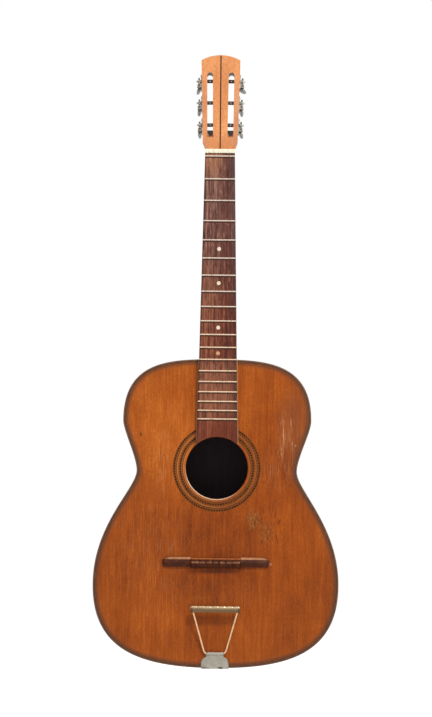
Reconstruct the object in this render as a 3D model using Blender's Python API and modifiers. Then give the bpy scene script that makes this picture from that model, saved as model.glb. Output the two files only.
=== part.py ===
"""A twelve-fret flat-top guitar with a slotted head, open geared tuners and a trapeze tailpiece.

The guitar hangs upright: +Z runs up the neck, the soundboard faces -Y and +X is the treble side.
The origin is on the centre line at the zero fret, in the plane of the soundboard's face.
"""

from math import atan, cos, pi, radians, sin, sqrt, tan

import bmesh
import bpy
from mathutils import Matrix, Vector

# Clearance between pieces that touch, and the play round shafts
GAP = 0.0003
SHAFT_PLAY = 0.0003
CUT_OVERRUN = 0.004

# Strings and frets
SCALE_LENGTH = 0.640
FRET_COUNT = 18
BODY_FRET = 12
FRET_WIDTH = 0.0022
FRET_HEIGHT = 0.0010
FRET_END_INSET = 0.0004
FRET_CROWN = (-0.14, 0.18, 0.5, 0.82, 1.14)
FRET_TANG_HALF = 0.00055
DOT_FRETS = (5, 7, 10, 12)
DOT_RADIUS = 0.0032
DOT_THICKNESS = 0.0014

# Body outline: half widths and their distance below the body's neck end, then how far each curve's
# handles reach, as shares of the curve's own width or height
BODY_LENGTH = 0.486
UPPER_HALF, UPPER_DROP = 0.148, 0.096
WAIST_HALF, WAIST_DROP = 0.126, 0.176
LOWER_HALF, LOWER_DROP = 0.1935, 0.355
NECK_END_SHARE, UPPER_RISE_SHARE = 0.473, 1.0
UPPER_FALL_SHARE, WAIST_IN_SHARE = 0.225, 0.275
WAIST_OUT_SHARE, LOWER_RISE_SHARE = 0.1564, 0.5251
LOWER_FALL_SHARE, TAIL_END_SHARE = 0.8092, 0.6047
OUTLINE_STEPS = (8, 5, 6, 10)

# Body shell
NECK_DEPTH = 0.088
TAIL_DEPTH = 0.098
BACK_RADIUS = 4.5
TOP_THICKNESS = 0.0028
BACK_THICKNESS = 0.0030
RIB_THICKNESS = 0.0024
BINDING_WIDTH = 0.0024
BINDING_HEIGHT = 0.0050
BACK_COLUMNS = 4
LINING_WIDTH = 0.0065
LINING_HEIGHT = 0.0145
LINING_TOE = 0.0020
LINING_END_CLEARANCE = 0.0012
NECK_BLOCK_HALF, NECK_BLOCK_LENGTH = 0.036, 0.052
TAIL_BLOCK_HALF, TAIL_BLOCK_LENGTH = 0.040, 0.020

# Sound hole and its two inlaid rings
HOLE_DROP = 0.171
HOLE_RADIUS = 0.049
ROSETTE_RADII = (0.0575, 0.0670)
ROSETTE_WIDTH = 0.0035
ROSETTE_DEPTH = 0.0010
RING_STEPS = 40

# Braces: the top's from the sound hole's middle and from the bridge, the back's from the same
BRACE_ABOVE_HOLE, BRACE_BELOW_HOLE, BRACE_BELOW_BRIDGE = 0.0650, 0.0655, 0.0320
BACK_BRACE_ABOVE_HOLE, BACK_BRACE_ABOVE_BRIDGE = 0.0610, 0.0200
BRACE_WIDTH = 0.0085
BRACE_HEIGHT = 0.0150
BRACE_TIP_HEIGHT = 0.0040
BRACE_SCOOP = 0.038
BRACE_SCOOP_POWER = 1.6
BRACE_STATIONS = ((-1, 0), (-1, 0.5), (-1, 1), (0, 1), (1, 1), (1, 0.5), (1, 0))
BRACE_SECTION = ((1, 0), (1, 0.55), (0.55, 0.92), (0, 1), (-0.55, 0.92), (-1, 0.55), (-1, 0))
BRACE_END_CLEARANCE = 0.0012

# Neck and fingerboard
NUT_HALF = 0.0235
BOARD_HALF_AT_BODY = 0.02965
BOARD_THICKNESS = 0.0060
BOARD_LEAD = 0.0044
BOARD_SETBACK = 0.0006
SHIM_THICKNESS = 0.0037
SHIM_MARGIN = 0.0013
SHAFT_DEPTH_AT_NUT = 0.0150
SHAFT_DEPTH_AT_HEEL = 0.0185
HEEL_DEPTH = 0.091
HEEL_LENGTH = 0.075
HEEL_STATIONS = 7
SHAFT_STATIONS = (-0.150, -0.060, -0.030)
SHAFT_POWER, HEEL_POWER, HEAD_POWER = 2.3, 1.8, 12
HEAD_BLEND = ((0.35, 2.5), (0.6, 3.0), (0.82, 4.5), (1.0, HEAD_POWER))
BLEND_SKIN = 0.00015
BLEND_OVERLAP = 0.010
TENON_HALF, TENON_END_HALF = 0.0100, 0.0130
TENON_LENGTH = 0.016
TENON_DEPTH = 0.066
SECTION_STEPS = 12
BOARD_ARC_STEPS = 10

# Nut
NUT_LENGTH = 0.0066
NUT_HEIGHT = 0.0083
NUT_ROUNDING = 0.0012
STRING_COUNT = 6
STRING_SPREAD = 0.0392
NOTCH_HALF = 0.0006
NOTCH_DEPTH = 0.0012

# Head
HEAD_TILT = radians(13)
HEAD_THICKNESS = 0.0200
HEAD_SHOULDER_HALF = 0.0275
HEAD_TOP_HALF = 0.0306
HEAD_SHOULDER = 0.0148
HEAD_CORNER = 0.1437
HEAD_PEAK = 0.1520
OGEE_START = 0.0018
OGEE_STEPS = 5
ARCH_STEPS = 6
SLOT_ARC_STEPS = 8
SLOT_HALF = 0.0045
SLOT_START_FRONT, SLOT_START_BACK = 0.0184, 0.0345
SLOT_END = 0.1238
SLOT_CENTRE_START, SLOT_CENTRE_END = 0.0158, 0.0170

# Tuning machines, measured from the head's side face at each roller's axis
ROLLER_PLACES = (0.0403, 0.0762, 0.1112)
ROLLER_RADIUS = 0.0029
ROLLER_SEAT_DEPTH = 0.0060
STRING_HOLE_RADIUS = 0.0010
STUB_RADIUS = 0.0020
SCREW_HEAD = ((0, 0.0017), (0.0019, 0.00145), (0.0027, 0.0006), (0.0027, 0))
PLATE_THICKNESS = 0.0010
PLATE_HALF_WIDTH = 0.0068
PLATE_TOP, PLATE_BOTTOM = 0.0108, 0.0158
PLATE_CORNER = 0.0030
EAR_THICKNESS = 0.0012
EAR_INNER = 0.0052
EAR_HALF = 0.0031
EAR_ROOT = 0.0005
GEAR_TEETH = 14
THREAD_PITCH = 0.0024
WORM_PITCH_RADIUS = 0.0022
ADDENDUM, DEDENDUM = 0.00060, 0.00085
TOOTH_ROOT_SHARE, TOOTH_TIP_SHARE = 0.50, 0.20
THREAD_ROOT_HALF, THREAD_TIP_HALF = 0.00060, 0.00026
THREAD_SINK = 0.0003
THREAD_TURNS = 3
THREAD_STEPS = 10
GEAR_THICKNESS = 0.0028
WORM_JOURNAL_RADIUS = 0.0011
WORM_CHAMFER = 0.0004
WORM_FRONT_END = 0.0072
SHANK_RADIUS = 0.0015
SHANK_END = 0.0240
SHANK_SEAT = 0.0060
BUTTON_SECTIONS = (
    (0, 0.0024, 0.0024), (0.0022, 0.0024, 0.0024), (0.0040, 0.0046, 0.0026), (0.0072, 0.0070, 0.0030),
    (0.0118, 0.0070, 0.0030), (0.0150, 0.0056, 0.0024), (0.0170, 0.0028, 0.0012),
)
BUTTON_TURNS = {
    ("bass", 1): 4, ("bass", 2): -7, ("bass", 3): -24,
    ("treble", 1): 22, ("treble", 2): 6, ("treble", 3): 58,
}

# Bridge, its sections from the tip inwards: distance from the middle, reach up and down, shoulder, crest
BRIDGE_REACH_UP, BRIDGE_REACH_DOWN = 0.0072, 0.0090
BRIDGE_CREST = 0.0145
BRIDGE_SECTIONS = (
    (0.0840, 0.0037, 0.0037, 0.0016, 0.0030),
    (0.0815, 0.0063, 0.0068, 0.0028, 0.0051),
    (0.0720, 0.0068, 0.0068, 0.0035, 0.0072),
    (0.0460, 0.0068, 0.0068, 0.0035, 0.0085),
    (0.0400, 0.0068, 0.0071, 0.0042, 0.0089),
    (0.0380, BRIDGE_REACH_UP, BRIDGE_REACH_DOWN, 0.0065, BRIDGE_CREST),
)
BRIDGE_RIDGE_HALF = 0.0011
BRIDGE_NOTCH_SPREAD = 0.0525

# Tailpiece
HINGE_RISE = 0.023
WIRE_RADIUS = 0.0016
SHEET = 0.0008
BARREL_HALF_LENGTH = 0.0130
BARREL_TURN = radians(300)
BARREL_STEPS = 8
WIRE_CORNER = ((0.0176, 0.0050), (0.0154, 0.0014), (0.0130, 0))
# The plate's half widths: down the tail at each depth, then up the front at each height above its foot
TAIL_DROPS = ((0.034, 0.0090), (0.030, 0.0150), (0.010, 0.0218))
PLATE_FOOT_HALF = 0.0218
PLATE_RISES = ((0.009, 0.0211), (0.017, 0.0157))
PLATE_THROAT_DROP, PLATE_THROAT_HALF = 0.0012, 0.0139
PLATE_BEND_STEPS = 3
BAR_HALF_LENGTH = 0.0390
BAR_HEIGHT = 0.0098
BAR_SHEET = 0.0012
BAR_LIP, BAR_LIP_HEIGHT = 0.0010, 0.0018
BAR_TUCK = 0.0015
BAR_ROLL_STEPS = 5
BAR_STATIONS = (-1, -0.97, 0, 0.97, 1)
BAR_RISE = 0.0758
BAR_LIFT = 0.0121
ROD_HALF_SPREAD = 0.0361
BAR_NOTCH_SPREAD = 0.0560
BAR_NOTCH_HALF = 0.0008
BAR_NOTCH_DEPTH = 0.0004
ROD_TOP_CLEARANCE = 0.0046

# Values that follow from the sizes above
BODY_TOP = -SCALE_LENGTH * (1 - 2 ** (-BODY_FRET / 12))
BODY_BOTTOM = BODY_TOP - BODY_LENGTH
HOLE_Z = BODY_TOP - HOLE_DROP
BRIDGE_Z = -SCALE_LENGTH
HINGE_Z = BODY_BOTTOM + HINGE_RISE
TOP_BRACES = {
    "upper": HOLE_Z + BRACE_ABOVE_HOLE,
    "waist": HOLE_Z - BRACE_BELOW_HOLE,
    "bridge": BRIDGE_Z - BRACE_BELOW_BRIDGE,
}
BACK_BRACES = {"upper": HOLE_Z + BACK_BRACE_ABOVE_HOLE, "lower": BRIDGE_Z + BACK_BRACE_ABOVE_BRIDGE}
NECK_FRONT = -GAP - SHIM_THICKNESS
BOARD_BACK = NECK_FRONT - GAP
BOARD_FRONT = BOARD_BACK - BOARD_THICKNESS
NUT_START = BOARD_LEAD + GAP
HEAD_START = NUT_START + NUT_LENGTH + GAP
HEAD_TAPER = atan((HEAD_TOP_HALF - HEAD_SHOULDER_HALF) / (HEAD_CORNER - HEAD_SHOULDER))
GEAR_PITCH_RADIUS = GEAR_TEETH * THREAD_PITCH / (2 * pi)
CENTRE_DISTANCE = GEAR_PITCH_RADIUS + WORM_PITCH_RADIUS
LEAD_ANGLE = atan(THREAD_PITCH / (2 * pi * WORM_PITCH_RADIUS))
PLATE_FACE = GAP + PLATE_THICKNESS
GEAR_MIDDLE = PLATE_FACE + GAP + WORM_PITCH_RADIUS + ADDENDUM
PIN_LIFT = GAP + SHEET + SHAFT_PLAY + WIRE_RADIUS
SIDES = {"bass": -1, "treble": 1}

PARTS = "Twelve-fret guitar"
CUTTERS = "Cutters"


def clear_scene():
    for thing in list(bpy.data.objects):
        bpy.data.objects.remove(thing)
    for name in (PARTS, CUTTERS):
        collection = bpy.data.collections.new(name)
        bpy.context.scene.collection.children.link(collection)
    bpy.data.collections[CUTTERS].hide_render = True


def material(name, colour, roughness, metallic=0.0):
    made = bpy.data.materials.new(name)
    made.use_nodes = True
    shader = made.node_tree.nodes["Principled BSDF"]
    shader.inputs["Base Color"].default_value = (*colour, 1.0)
    shader.inputs["Roughness"].default_value = roughness
    shader.inputs["Metallic"].default_value = metallic
    made.diffuse_color = (*colour, 1.0)
    return made


def place(name, mesh, finish=None, matrix=None, parent=None):
    """Puts a mesh in the scene as a part, or as a cutter where it has no finish."""
    made = bpy.data.objects.new(name, mesh)
    bpy.data.collections[PARTS if finish else CUTTERS].objects.link(made)
    if finish:
        mesh.materials.append(finish)
    else:
        made.hide_render = True
        made.display_type = "WIRE"
    if parent:
        made.parent = parent
    if matrix:
        made.matrix_basis = matrix
    return made


def empty(name, matrix):
    made = bpy.data.objects.new(name, None)
    made.empty_display_size = 0.01
    bpy.data.collections[PARTS].objects.link(made)
    made.matrix_world = matrix
    return made


def boolean(target, other, operation):
    modifier = target.modifiers.new(other.name, "BOOLEAN")
    modifier.operation = operation
    modifier.object = other
    return target


def cut(target, cutter):
    return boolean(target, cutter, "DIFFERENCE")


def unite(target, other):
    return boolean(target, other, "UNION")


def smooth(thing, angle=35):
    thing.data.shade_smooth()
    thing.data.set_sharp_from_angle(angle=radians(angle))
    return thing


def mesh_from(name, model):
    bmesh.ops.recalc_face_normals(model, faces=model.faces)
    mesh = bpy.data.meshes.new(name)
    model.to_mesh(mesh)
    model.free()
    return mesh


def loft_mesh(name, sections):
    """A closed skin through sections that have as many points each, capped at both ends."""
    model = bmesh.new()
    rows = [[model.verts.new(point) for point in section] for section in sections]
    for row, following in zip(rows, rows[1:]):
        for i in range(len(row)):
            j = (i + 1) % len(row)
            model.faces.new((row[i], row[j], following[j], following[i]))
    model.faces.new(rows[0])
    model.faces.new(rows[-1])
    return mesh_from(name, model)


def sheet_mesh(name, rows, facing):
    """An open surface through rows of points, with its faces towards facing."""
    model = bmesh.new()
    grid = [[model.verts.new(point) for point in row] for row in rows]
    for row, following in zip(grid, grid[1:]):
        for i in range(len(row) - 1):
            model.faces.new((row[i], row[i + 1], following[i + 1], following[i]))
    bmesh.ops.remove_doubles(model, verts=model.verts, dist=1e-6)
    bmesh.ops.recalc_face_normals(model, faces=model.faces)
    model.normal_update()
    total = sum((face.normal * face.calc_area() for face in model.faces), Vector())
    if total.dot(facing) < 0:
        bmesh.ops.reverse_faces(model, faces=model.faces)
    mesh = bpy.data.meshes.new(name)
    model.to_mesh(mesh)
    model.free()
    return mesh


def thicken(thing, thickness, offset):
    modifier = thing.modifiers.new("Thickness", "SOLIDIFY")
    modifier.thickness = thickness
    modifier.offset = offset
    modifier.use_even_offset = True
    return thing


def flat_mesh(name, loops, thickness):
    """A flat plate between z = 0 and z = thickness, from an outline and any holes in it."""
    curve = bpy.data.curves.new(name, "CURVE")
    curve.dimensions = "2D"
    curve.fill_mode = "BOTH"
    curve.extrude = thickness / 2
    for loop in loops:
        spline = curve.splines.new("POLY")
        spline.points.add(len(loop) - 1)
        spline.use_cyclic_u = True
        for point, (x, y) in zip(spline.points, loop):
            point.co = (x, y, 0, 1)
    return baked_curve(name, curve, Matrix.Translation((0, 0, thickness / 2)))


def baked_curve(name, curve, matrix=None):
    """The mesh of a curve, with its caps welded."""
    holder = bpy.data.objects.new(name, curve)
    bpy.data.collections[CUTTERS].objects.link(holder)
    graph = bpy.context.evaluated_depsgraph_get()
    mesh = bpy.data.meshes.new_from_object(holder.evaluated_get(graph))
    mesh.name = name
    mesh.materials.clear()
    model = bmesh.new()
    model.from_mesh(mesh)
    bmesh.ops.remove_doubles(model, verts=model.verts, dist=1e-6)
    bmesh.ops.recalc_face_normals(model, faces=model.faces)
    model.to_mesh(mesh)
    model.free()
    if matrix:
        mesh.transform(matrix)
    bpy.data.objects.remove(holder)
    bpy.data.curves.remove(curve)
    return mesh


def turned(name, profile, steps, finish=None, matrix=None, parent=None):
    """A profile of (radius, height) points, top to bottom, turned about the object's Z axis."""
    mesh = bpy.data.meshes.new(name)
    points = [(radius, 0, height) for radius, height in profile]
    mesh.from_pydata(points, [(i, i + 1) for i in range(len(points) - 1)], [])
    made = place(name, mesh, finish, matrix, parent)
    screw = made.modifiers.new("Turn", "SCREW")
    screw.axis = "Z"
    screw.steps = steps
    screw.render_steps = steps
    screw.use_merge_vertices = True
    screw.merge_threshold = 1e-5
    screw.use_smooth_shade = True
    return made


def circle(radius, steps, centre=(0.0, 0.0)):
    turn = 2 * pi / steps
    return [(centre[0] + radius * cos(i * turn), centre[1] + radius * sin(i * turn)) for i in range(steps)]


def box_mesh(name, boxes):
    """One mesh of separate boxes, each given by its lowest and its highest corner."""
    model = bmesh.new()
    for low, high in boxes:
        low, high = Vector(low), Vector(high)
        size = Matrix.Diagonal((*(high - low), 1))
        bmesh.ops.create_cube(model, size=1, matrix=Matrix.Translation((low + high) / 2) @ size)
    return mesh_from(name, model)


# The plane of the soundboard: a flat outline drawn in (x, z) is stood up, front face first
def standing(y_front, thickness):
    return Matrix.Translation((0, y_front + thickness, 0)) @ Matrix.Rotation(pi / 2, 4, "X")


def bezier(ends, t):
    """Place and direction at t on a curve of four points."""
    a, b, c, d = (Vector(end) for end in ends)
    u = 1 - t
    at = u**3 * a + 3 * u * u * t * b + 3 * u * t * t * c + t**3 * d
    way = 3 * (u * u * (b - a) + 2 * u * t * (c - b) + t * t * (d - c))
    return at, way.normalized()


def outline_segments():
    top, upper, waist = BODY_TOP, BODY_TOP - UPPER_DROP, BODY_TOP - WAIST_DROP
    lower, bottom = BODY_TOP - LOWER_DROP, BODY_BOTTOM
    legs = (
        ((0, top), (UPPER_HALF, upper), NECK_END_SHARE, UPPER_RISE_SHARE),
        ((UPPER_HALF, upper), (WAIST_HALF, waist), UPPER_FALL_SHARE, WAIST_IN_SHARE),
        ((WAIST_HALF, waist), (LOWER_HALF, lower), WAIST_OUT_SHARE, LOWER_RISE_SHARE),
        ((LOWER_HALF, lower), (0, bottom), LOWER_FALL_SHARE, TAIL_END_SHARE),
    )
    segments = []
    for start, end, leave, arrive in legs:
        (x0, z0), (x1, z1) = start, end
        first = (x0 + leave * (x1 - x0), z0) if x0 == 0 else (x0, z0 + leave * (z1 - z0))
        second = (x1 + arrive * (x0 - x1), z1) if x1 == 0 else (x1, z1 + arrive * (z0 - z1))
        segments.append((start, first, second, end))
    return segments


def full_half(inset):
    """Points (x, z) of the treble half from the neck round to the tail, set in by inset."""
    segments = outline_segments()
    points = []
    for number, (segment, steps) in enumerate(zip(segments, OUTLINE_STEPS)):
        last = number == len(segments) - 1
        for i in range(steps + last):
            at, way = bezier(segment, i / steps)
            points.append((at.x + way.y * inset, at.y - way.x * inset))
    return points


def station_where(points, x):
    """How many points along an outline its half width first passes x, as a number with a fraction."""
    for i, ((x0, _), (x1, _)) in enumerate(zip(points, points[1:])):
        if min(x0, x1) <= x < max(x0, x1):
            return i + (x - x0) / (x1 - x0)
    return 0.0


def between(points, station):
    i = min(int(station), len(points) - 2)
    (x0, z0), (x1, z1) = points[i], points[i + 1]
    share = station - i
    return (x0 + (x1 - x0) * share, z0 + (z1 - z0) * share)


def half_outline(inset=0.0, neck_x=0.0, tail_x=0.0):
    """The same points, trimmed where the half width is neck_x at the neck and tail_x at the tail."""
    points = full_half(inset)
    base = full_half(0.0)
    start = station_where(base, neck_x)
    end = len(base) - 1 - station_where(base[::-1], tail_x)
    inner = range(int(start) + 1, int(end) + (end > int(end)))
    return [between(points, start)] + [points[i] for i in inner] + [between(points, end)]


def whole_outline(inset=0.0):
    right = half_outline(inset)
    return right + [(-x, z) for x, z in reversed(right[1:-1])]


def back_face(x, z):
    """Distance behind the soundboard's face of the domed back's outer face."""
    side = NECK_DEPTH + (TAIL_DEPTH - NECK_DEPTH) * (BODY_TOP - z) / BODY_LENGTH
    return side + (LOWER_HALF**2 - x * x) / (2 * BACK_RADIUS)


def back_seat(x, z):
    """Distance of whatever stands under the back plate's inner face."""
    return back_face(x, z) - BACK_THICKNESS - GAP


def half_width(z, inset):
    """Half width of the outline, set in by inset, at height z."""
    points = half_outline(inset)
    for (x0, z0), (x1, z1) in zip(points, points[1:]):
        if z1 <= z <= z0:
            return x0 + (x1 - x0) * (z0 - z) / (z0 - z1)
    return 0.0


def prism_mesh(name, outline, front, back):
    """A solid over an outline in (x, z), from y = front to the surface back(x, z)."""
    near = [(x, front, z) for x, z in outline]
    far = [(x, back(x, z), z) for x, z in outline]
    return loft_mesh(name, [near, far])


def fret_z(number):
    return -SCALE_LENGTH * (1 - 2 ** (-number / 12))


def board_half(z):
    """Half width of the fingerboard and of the neck at height z."""
    return NUT_HALF + (BOARD_HALF_AT_BODY - NUT_HALF) * z / BODY_TOP


def make_soundboard(finishes):
    inset = BINDING_WIDTH + GAP
    hole = circle(HOLE_RADIUS, RING_STEPS, (0, HOLE_Z))
    mesh = flat_mesh("soundboard", (whole_outline(inset), hole), TOP_THICKNESS)
    mesh.transform(standing(0, TOP_THICKNESS))
    board = place("soundboard", mesh, finishes["spruce"])
    facing_out = Matrix.Translation((0, 0, HOLE_Z)) @ Matrix.Rotation(pi / 2, 4, "X")
    for name, radius in zip(("rosette_inner", "rosette_outer"), ROSETTE_RADII):
        ring_half = ROSETTE_WIDTH / 2
        ring = ring_profile(radius - ring_half, radius + ring_half, 0, ROSETTE_DEPTH)
        turned(name, ring, RING_STEPS, finishes["purfling"], facing_out)
        groove_half = ring_half + GAP
        groove = ring_profile(radius - groove_half, radius + groove_half, -CUT_OVERRUN, ROSETTE_DEPTH + GAP)
        cut(board, turned(f"{name}_groove", groove, RING_STEPS, None, facing_out))


def ring_profile(inner, outer, front, back):
    """A closed rectangle to turn: front and back are depths behind the face."""
    return [(inner, -front), (outer, -front), (outer, -back), (inner, -back), (inner, -front)]


def make_binding(finishes):
    mesh = flat_mesh("binding_front", (whole_outline(), whole_outline(BINDING_WIDTH)), BINDING_HEIGHT)
    mesh.transform(standing(0, BINDING_HEIGHT))
    place("binding_front", mesh, finishes["binding"])


def make_back(finishes):
    rows = []
    for x, z in half_outline():
        across = [x * (2 * i / BACK_COLUMNS - 1) for i in range(BACK_COLUMNS + 1)]
        rows.append([(at, back_face(at, z), z) for at in across])
    back = place("back_plate", sheet_mesh("back_plate", rows, Vector((0, 1, 0))), finishes["side_wood"])
    thicken(back, BACK_THICKNESS, -1)


def make_rib(side, sign, finishes):
    path = half_outline(0, tenon_half(2 * RIB_THICKNESS) + GAP, GAP / 2)
    front = [(sign * x, BINDING_HEIGHT + GAP, z) for x, z in path]
    back = [(sign * x, back_seat(x, z), z) for x, z in path]
    mesh = sheet_mesh(f"rib_{side}", (front, back), Vector((sign, 0, 0)))
    thicken(place(f"rib_{side}", mesh, finishes["side_wood"]), RIB_THICKNESS, -1)


def make_linings(side, sign, finishes):
    """The strips glued round the inside corners, thick at the plate and thin at the toe."""
    neck_x = NECK_BLOCK_HALF + LINING_END_CLEARANCE
    tail_x = TAIL_BLOCK_HALF + LINING_END_CLEARANCE
    heel = max(RIB_THICKNESS, BINDING_WIDTH) + GAP
    outer = half_outline(heel, neck_x, tail_x)
    toe = half_outline(heel + LINING_TOE, neck_x, tail_x)
    inner = half_outline(heel + LINING_WIDTH, neck_x, tail_x)
    seats = {
        "front": (lambda x, z: TOP_THICKNESS + GAP, 1),
        "back": (back_seat, -1),
    }
    for face, (seat, inward) in seats.items():
        sections = []
        for (xo, zo), (xt, zt), (xi, zi) in zip(outer, toe, inner):
            sections.append((
                (sign * xo, seat(xo, zo), zo),
                (sign * xi, seat(xi, zi), zi),
                (sign * xt, seat(xo, zo) + inward * LINING_HEIGHT, zt),
                (sign * xo, seat(xo, zo) + inward * LINING_HEIGHT, zo),
            ))
        name = f"lining_{face}_{side}"
        place(name, loft_mesh(name, sections), finishes["inner_wood"])


def block_outline(half, start, end, inset):
    """The part of the inner outline within half of the centre line, between two heights."""
    points = [(x, z) for x, z in half_outline(inset) if x < half and end <= z <= start]
    edge = share_edge(half, inset, start, end)
    return points, edge


def share_edge(half, inset, start, end):
    """Height at which the inner outline passes half, between two heights."""
    points = half_outline(inset)
    for (x0, z0), (x1, z1) in zip(points, points[1:]):
        if min(x0, x1) <= half <= max(x0, x1) and end <= (z0 + z1) / 2 <= start:
            return z0 + (z1 - z0) * (half - x0) / (x1 - x0)
    return end


def make_blocks(finishes):
    inset = RIB_THICKNESS + GAP
    neck_points, neck_edge = block_outline(NECK_BLOCK_HALF, BODY_TOP, BODY_TOP - UPPER_DROP, inset)
    neck_side = neck_points + [(NECK_BLOCK_HALF, neck_edge), (NECK_BLOCK_HALF, BODY_TOP - NECK_BLOCK_LENGTH)]
    tail_points, tail_edge = block_outline(TAIL_BLOCK_HALF, BODY_TOP - LOWER_DROP, BODY_BOTTOM, inset)
    tail_side = [
        (TAIL_BLOCK_HALF, BODY_BOTTOM + TAIL_BLOCK_LENGTH),
        (TAIL_BLOCK_HALF, tail_edge),
    ] + tail_points
    for name, side in (("neck_block", neck_side), ("tail_block", tail_side)):
        outline = side + [(-x, z) for x, z in reversed(side) if x > GAP]
        mesh = prism_mesh(name, outline, TOP_THICKNESS + GAP, back_seat)
        block = place(name, mesh, finishes["inner_wood"])
        if name == "neck_block":
            mortise = tenon_mesh("mortise", GAP, CUT_OVERRUN)
            cut(block, place("mortise", mortise))


def tenon_half(depth):
    """Half width of the dovetail at a depth below the body's neck end."""
    return TENON_HALF + (TENON_END_HALF - TENON_HALF) * depth / TENON_LENGTH


def tenon_mesh(name, clearance, reach):
    """The dovetail under the heel, or with a clearance its mortise, which is open to the front."""
    root = BODY_TOP + reach
    tip = BODY_TOP - TENON_LENGTH - clearance
    near = tenon_half(-reach) + clearance
    far = tenon_half(TENON_LENGTH + clearance) + clearance
    outline = [(near, root), (far, tip), (-far, tip), (-near, root)]
    front = BINDING_HEIGHT + GAP - clearance - (CUT_OVERRUN if clearance else 0)
    return prism_mesh(name, outline, front, lambda x, z: BINDING_HEIGHT + TENON_DEPTH + clearance)


def make_braces(finishes):
    inset = RIB_THICKNESS + GAP + LINING_WIDTH + BRACE_END_CLEARANCE
    for place_name, z in TOP_BRACES.items():
        make_brace(f"brace_top_{place_name}", z, inset, lambda x, z: TOP_THICKNESS + GAP, 1, finishes)
    for place_name, z in BACK_BRACES.items():
        make_brace(f"brace_back_{place_name}", z, inset, back_seat, -1, finishes)


def make_brace(name, z, inset, seat, inward, finishes):
    """A bar across the body, with a rounded ridge and scooped ends."""
    half_brace = BRACE_WIDTH / 2
    end = min(half_width(z + half_brace, inset), half_width(z - half_brace, inset))
    sections = []
    for way, share in BRACE_STATIONS:
        x = way * (end - BRACE_SCOOP * share)
        height = BRACE_TIP_HEIGHT + (BRACE_HEIGHT - BRACE_TIP_HEIGHT) * share**BRACE_SCOOP_POWER
        sections.append([
            (x, seat(x, z + half_brace * across) + inward * height * up, z + half_brace * across)
            for across, up in BRACE_SECTION
        ])
    place(name, loft_mesh(name, sections), finishes["inner_wood"])


def head_matrix():
    """The head's own axes: X across, Y along its face and up, Z out of its face."""
    start = Matrix.Translation((0, NECK_FRONT, HEAD_START))
    return start @ Matrix.Rotation(pi / 2 - HEAD_TILT, 4, "X")


def neck_section(front, tilt, half, depth, power, lift=0.0):
    """A rounded section from the neck's front plane backwards, in a plane turned by tilt."""
    along_back = Vector((0, cos(tilt), -sin(tilt)))
    points = []
    for i in range(SECTION_STEPS + 1):
        turn = pi * i / SECTION_STEPS
        across, back = cos(turn), max(0.0, sin(turn))
        x = half * (1 if across > 0 else -1) * abs(across) ** (2 / power)
        point = Vector(front) + along_back * (lift + depth * back ** (2 / power))
        points.append(point + Vector((x, 0, 0)))
    return points


def make_neck(finishes):
    sections = []
    joint = BODY_TOP + GAP
    for i in range(HEEL_STATIONS):
        share = i / (HEEL_STATIONS - 1)
        z = joint + HEEL_LENGTH * share
        bulk = (1 + cos(pi * share**0.75)) / 2
        depth = SHAFT_DEPTH_AT_HEEL + (HEEL_DEPTH - SHAFT_DEPTH_AT_HEEL) * bulk
        power = SHAFT_POWER + (HEEL_POWER - SHAFT_POWER) * bulk
        sections.append(neck_section((0, NECK_FRONT, z), 0, board_half(z), depth, power))
    for z in SHAFT_STATIONS:
        share = (z - joint - HEEL_LENGTH) / (-joint - HEEL_LENGTH)
        depth = SHAFT_DEPTH_AT_HEEL + (SHAFT_DEPTH_AT_NUT - SHAFT_DEPTH_AT_HEEL) * share
        sections.append(neck_section((0, NECK_FRONT, z), 0, board_half(z), depth, SHAFT_POWER))
    head_depth = HEAD_THICKNESS - 2 * BLEND_SKIN
    for share, power in HEAD_BLEND:
        z = HEAD_START - (1 - share) * (HEAD_START - SHAFT_STATIONS[-1])
        depth = SHAFT_DEPTH_AT_NUT + (head_depth - SHAFT_DEPTH_AT_NUT) * share**2
        skin = BLEND_SKIN * share
        half = board_half(min(z, 0)) - skin
        sections.append(neck_section((0, NECK_FRONT, z), HEAD_TILT * share, half, depth, power, skin))
    inside = head_matrix() @ Vector((0, BLEND_OVERLAP, 0))
    half = NUT_HALF - BLEND_SKIN
    sections.append(neck_section(inside, HEAD_TILT, half, head_depth, HEAD_POWER, BLEND_SKIN))
    neck = place("neck", loft_mesh("neck", sections), finishes["neck_wood"])
    unite(neck, place("tenon", tenon_mesh("tenon", 0, CUT_OVERRUN)))
    plank = flat_mesh("head_plank", (head_outline(),), HEAD_THICKNESS)
    unite(neck, place("head_plank", plank, None, head_matrix() @ Matrix.Translation((0, 0, -HEAD_THICKNESS))))
    for side, sign in SIDES.items():
        cut(neck, place(f"slot_{side}", slot_mesh(f"slot_{side}", sign), None, head_matrix()))
    cut(neck, roller_holes())
    smooth(neck, 30)


def head_outline():
    """The head's face in (across, along): a small ogee at the nut, straight sides and an arched top."""
    right = [(NUT_HALF, 0)]
    for i in range(OGEE_STEPS + 1):
        share = i / OGEE_STEPS
        eased = share * share * (3 - 2 * share)
        along = OGEE_START + (HEAD_SHOULDER - OGEE_START) * share
        right.append((NUT_HALF + (HEAD_SHOULDER_HALF - NUT_HALF) * eased, along))
    rise = HEAD_PEAK - HEAD_CORNER
    radius = (HEAD_TOP_HALF**2 + rise**2) / (2 * rise)
    for i in range(ARCH_STEPS + 1):
        x = HEAD_TOP_HALF * (1 - i / ARCH_STEPS)
        along = HEAD_PEAK - radius + sqrt(radius**2 - x * x)
        right.append((x, along))
    return right + [(-x, along) for x, along in reversed(right[:-1])]


def head_half(along):
    """Half width of the head at a distance along its straight sides."""
    return HEAD_SHOULDER_HALF + (along - HEAD_SHOULDER) * tan(HEAD_TAPER)


def slot_centre(along):
    share = (along - SLOT_START_FRONT) / (SLOT_END - SLOT_START_FRONT)
    return SLOT_CENTRE_START + (SLOT_CENTRE_END - SLOT_CENTRE_START) * share


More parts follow.
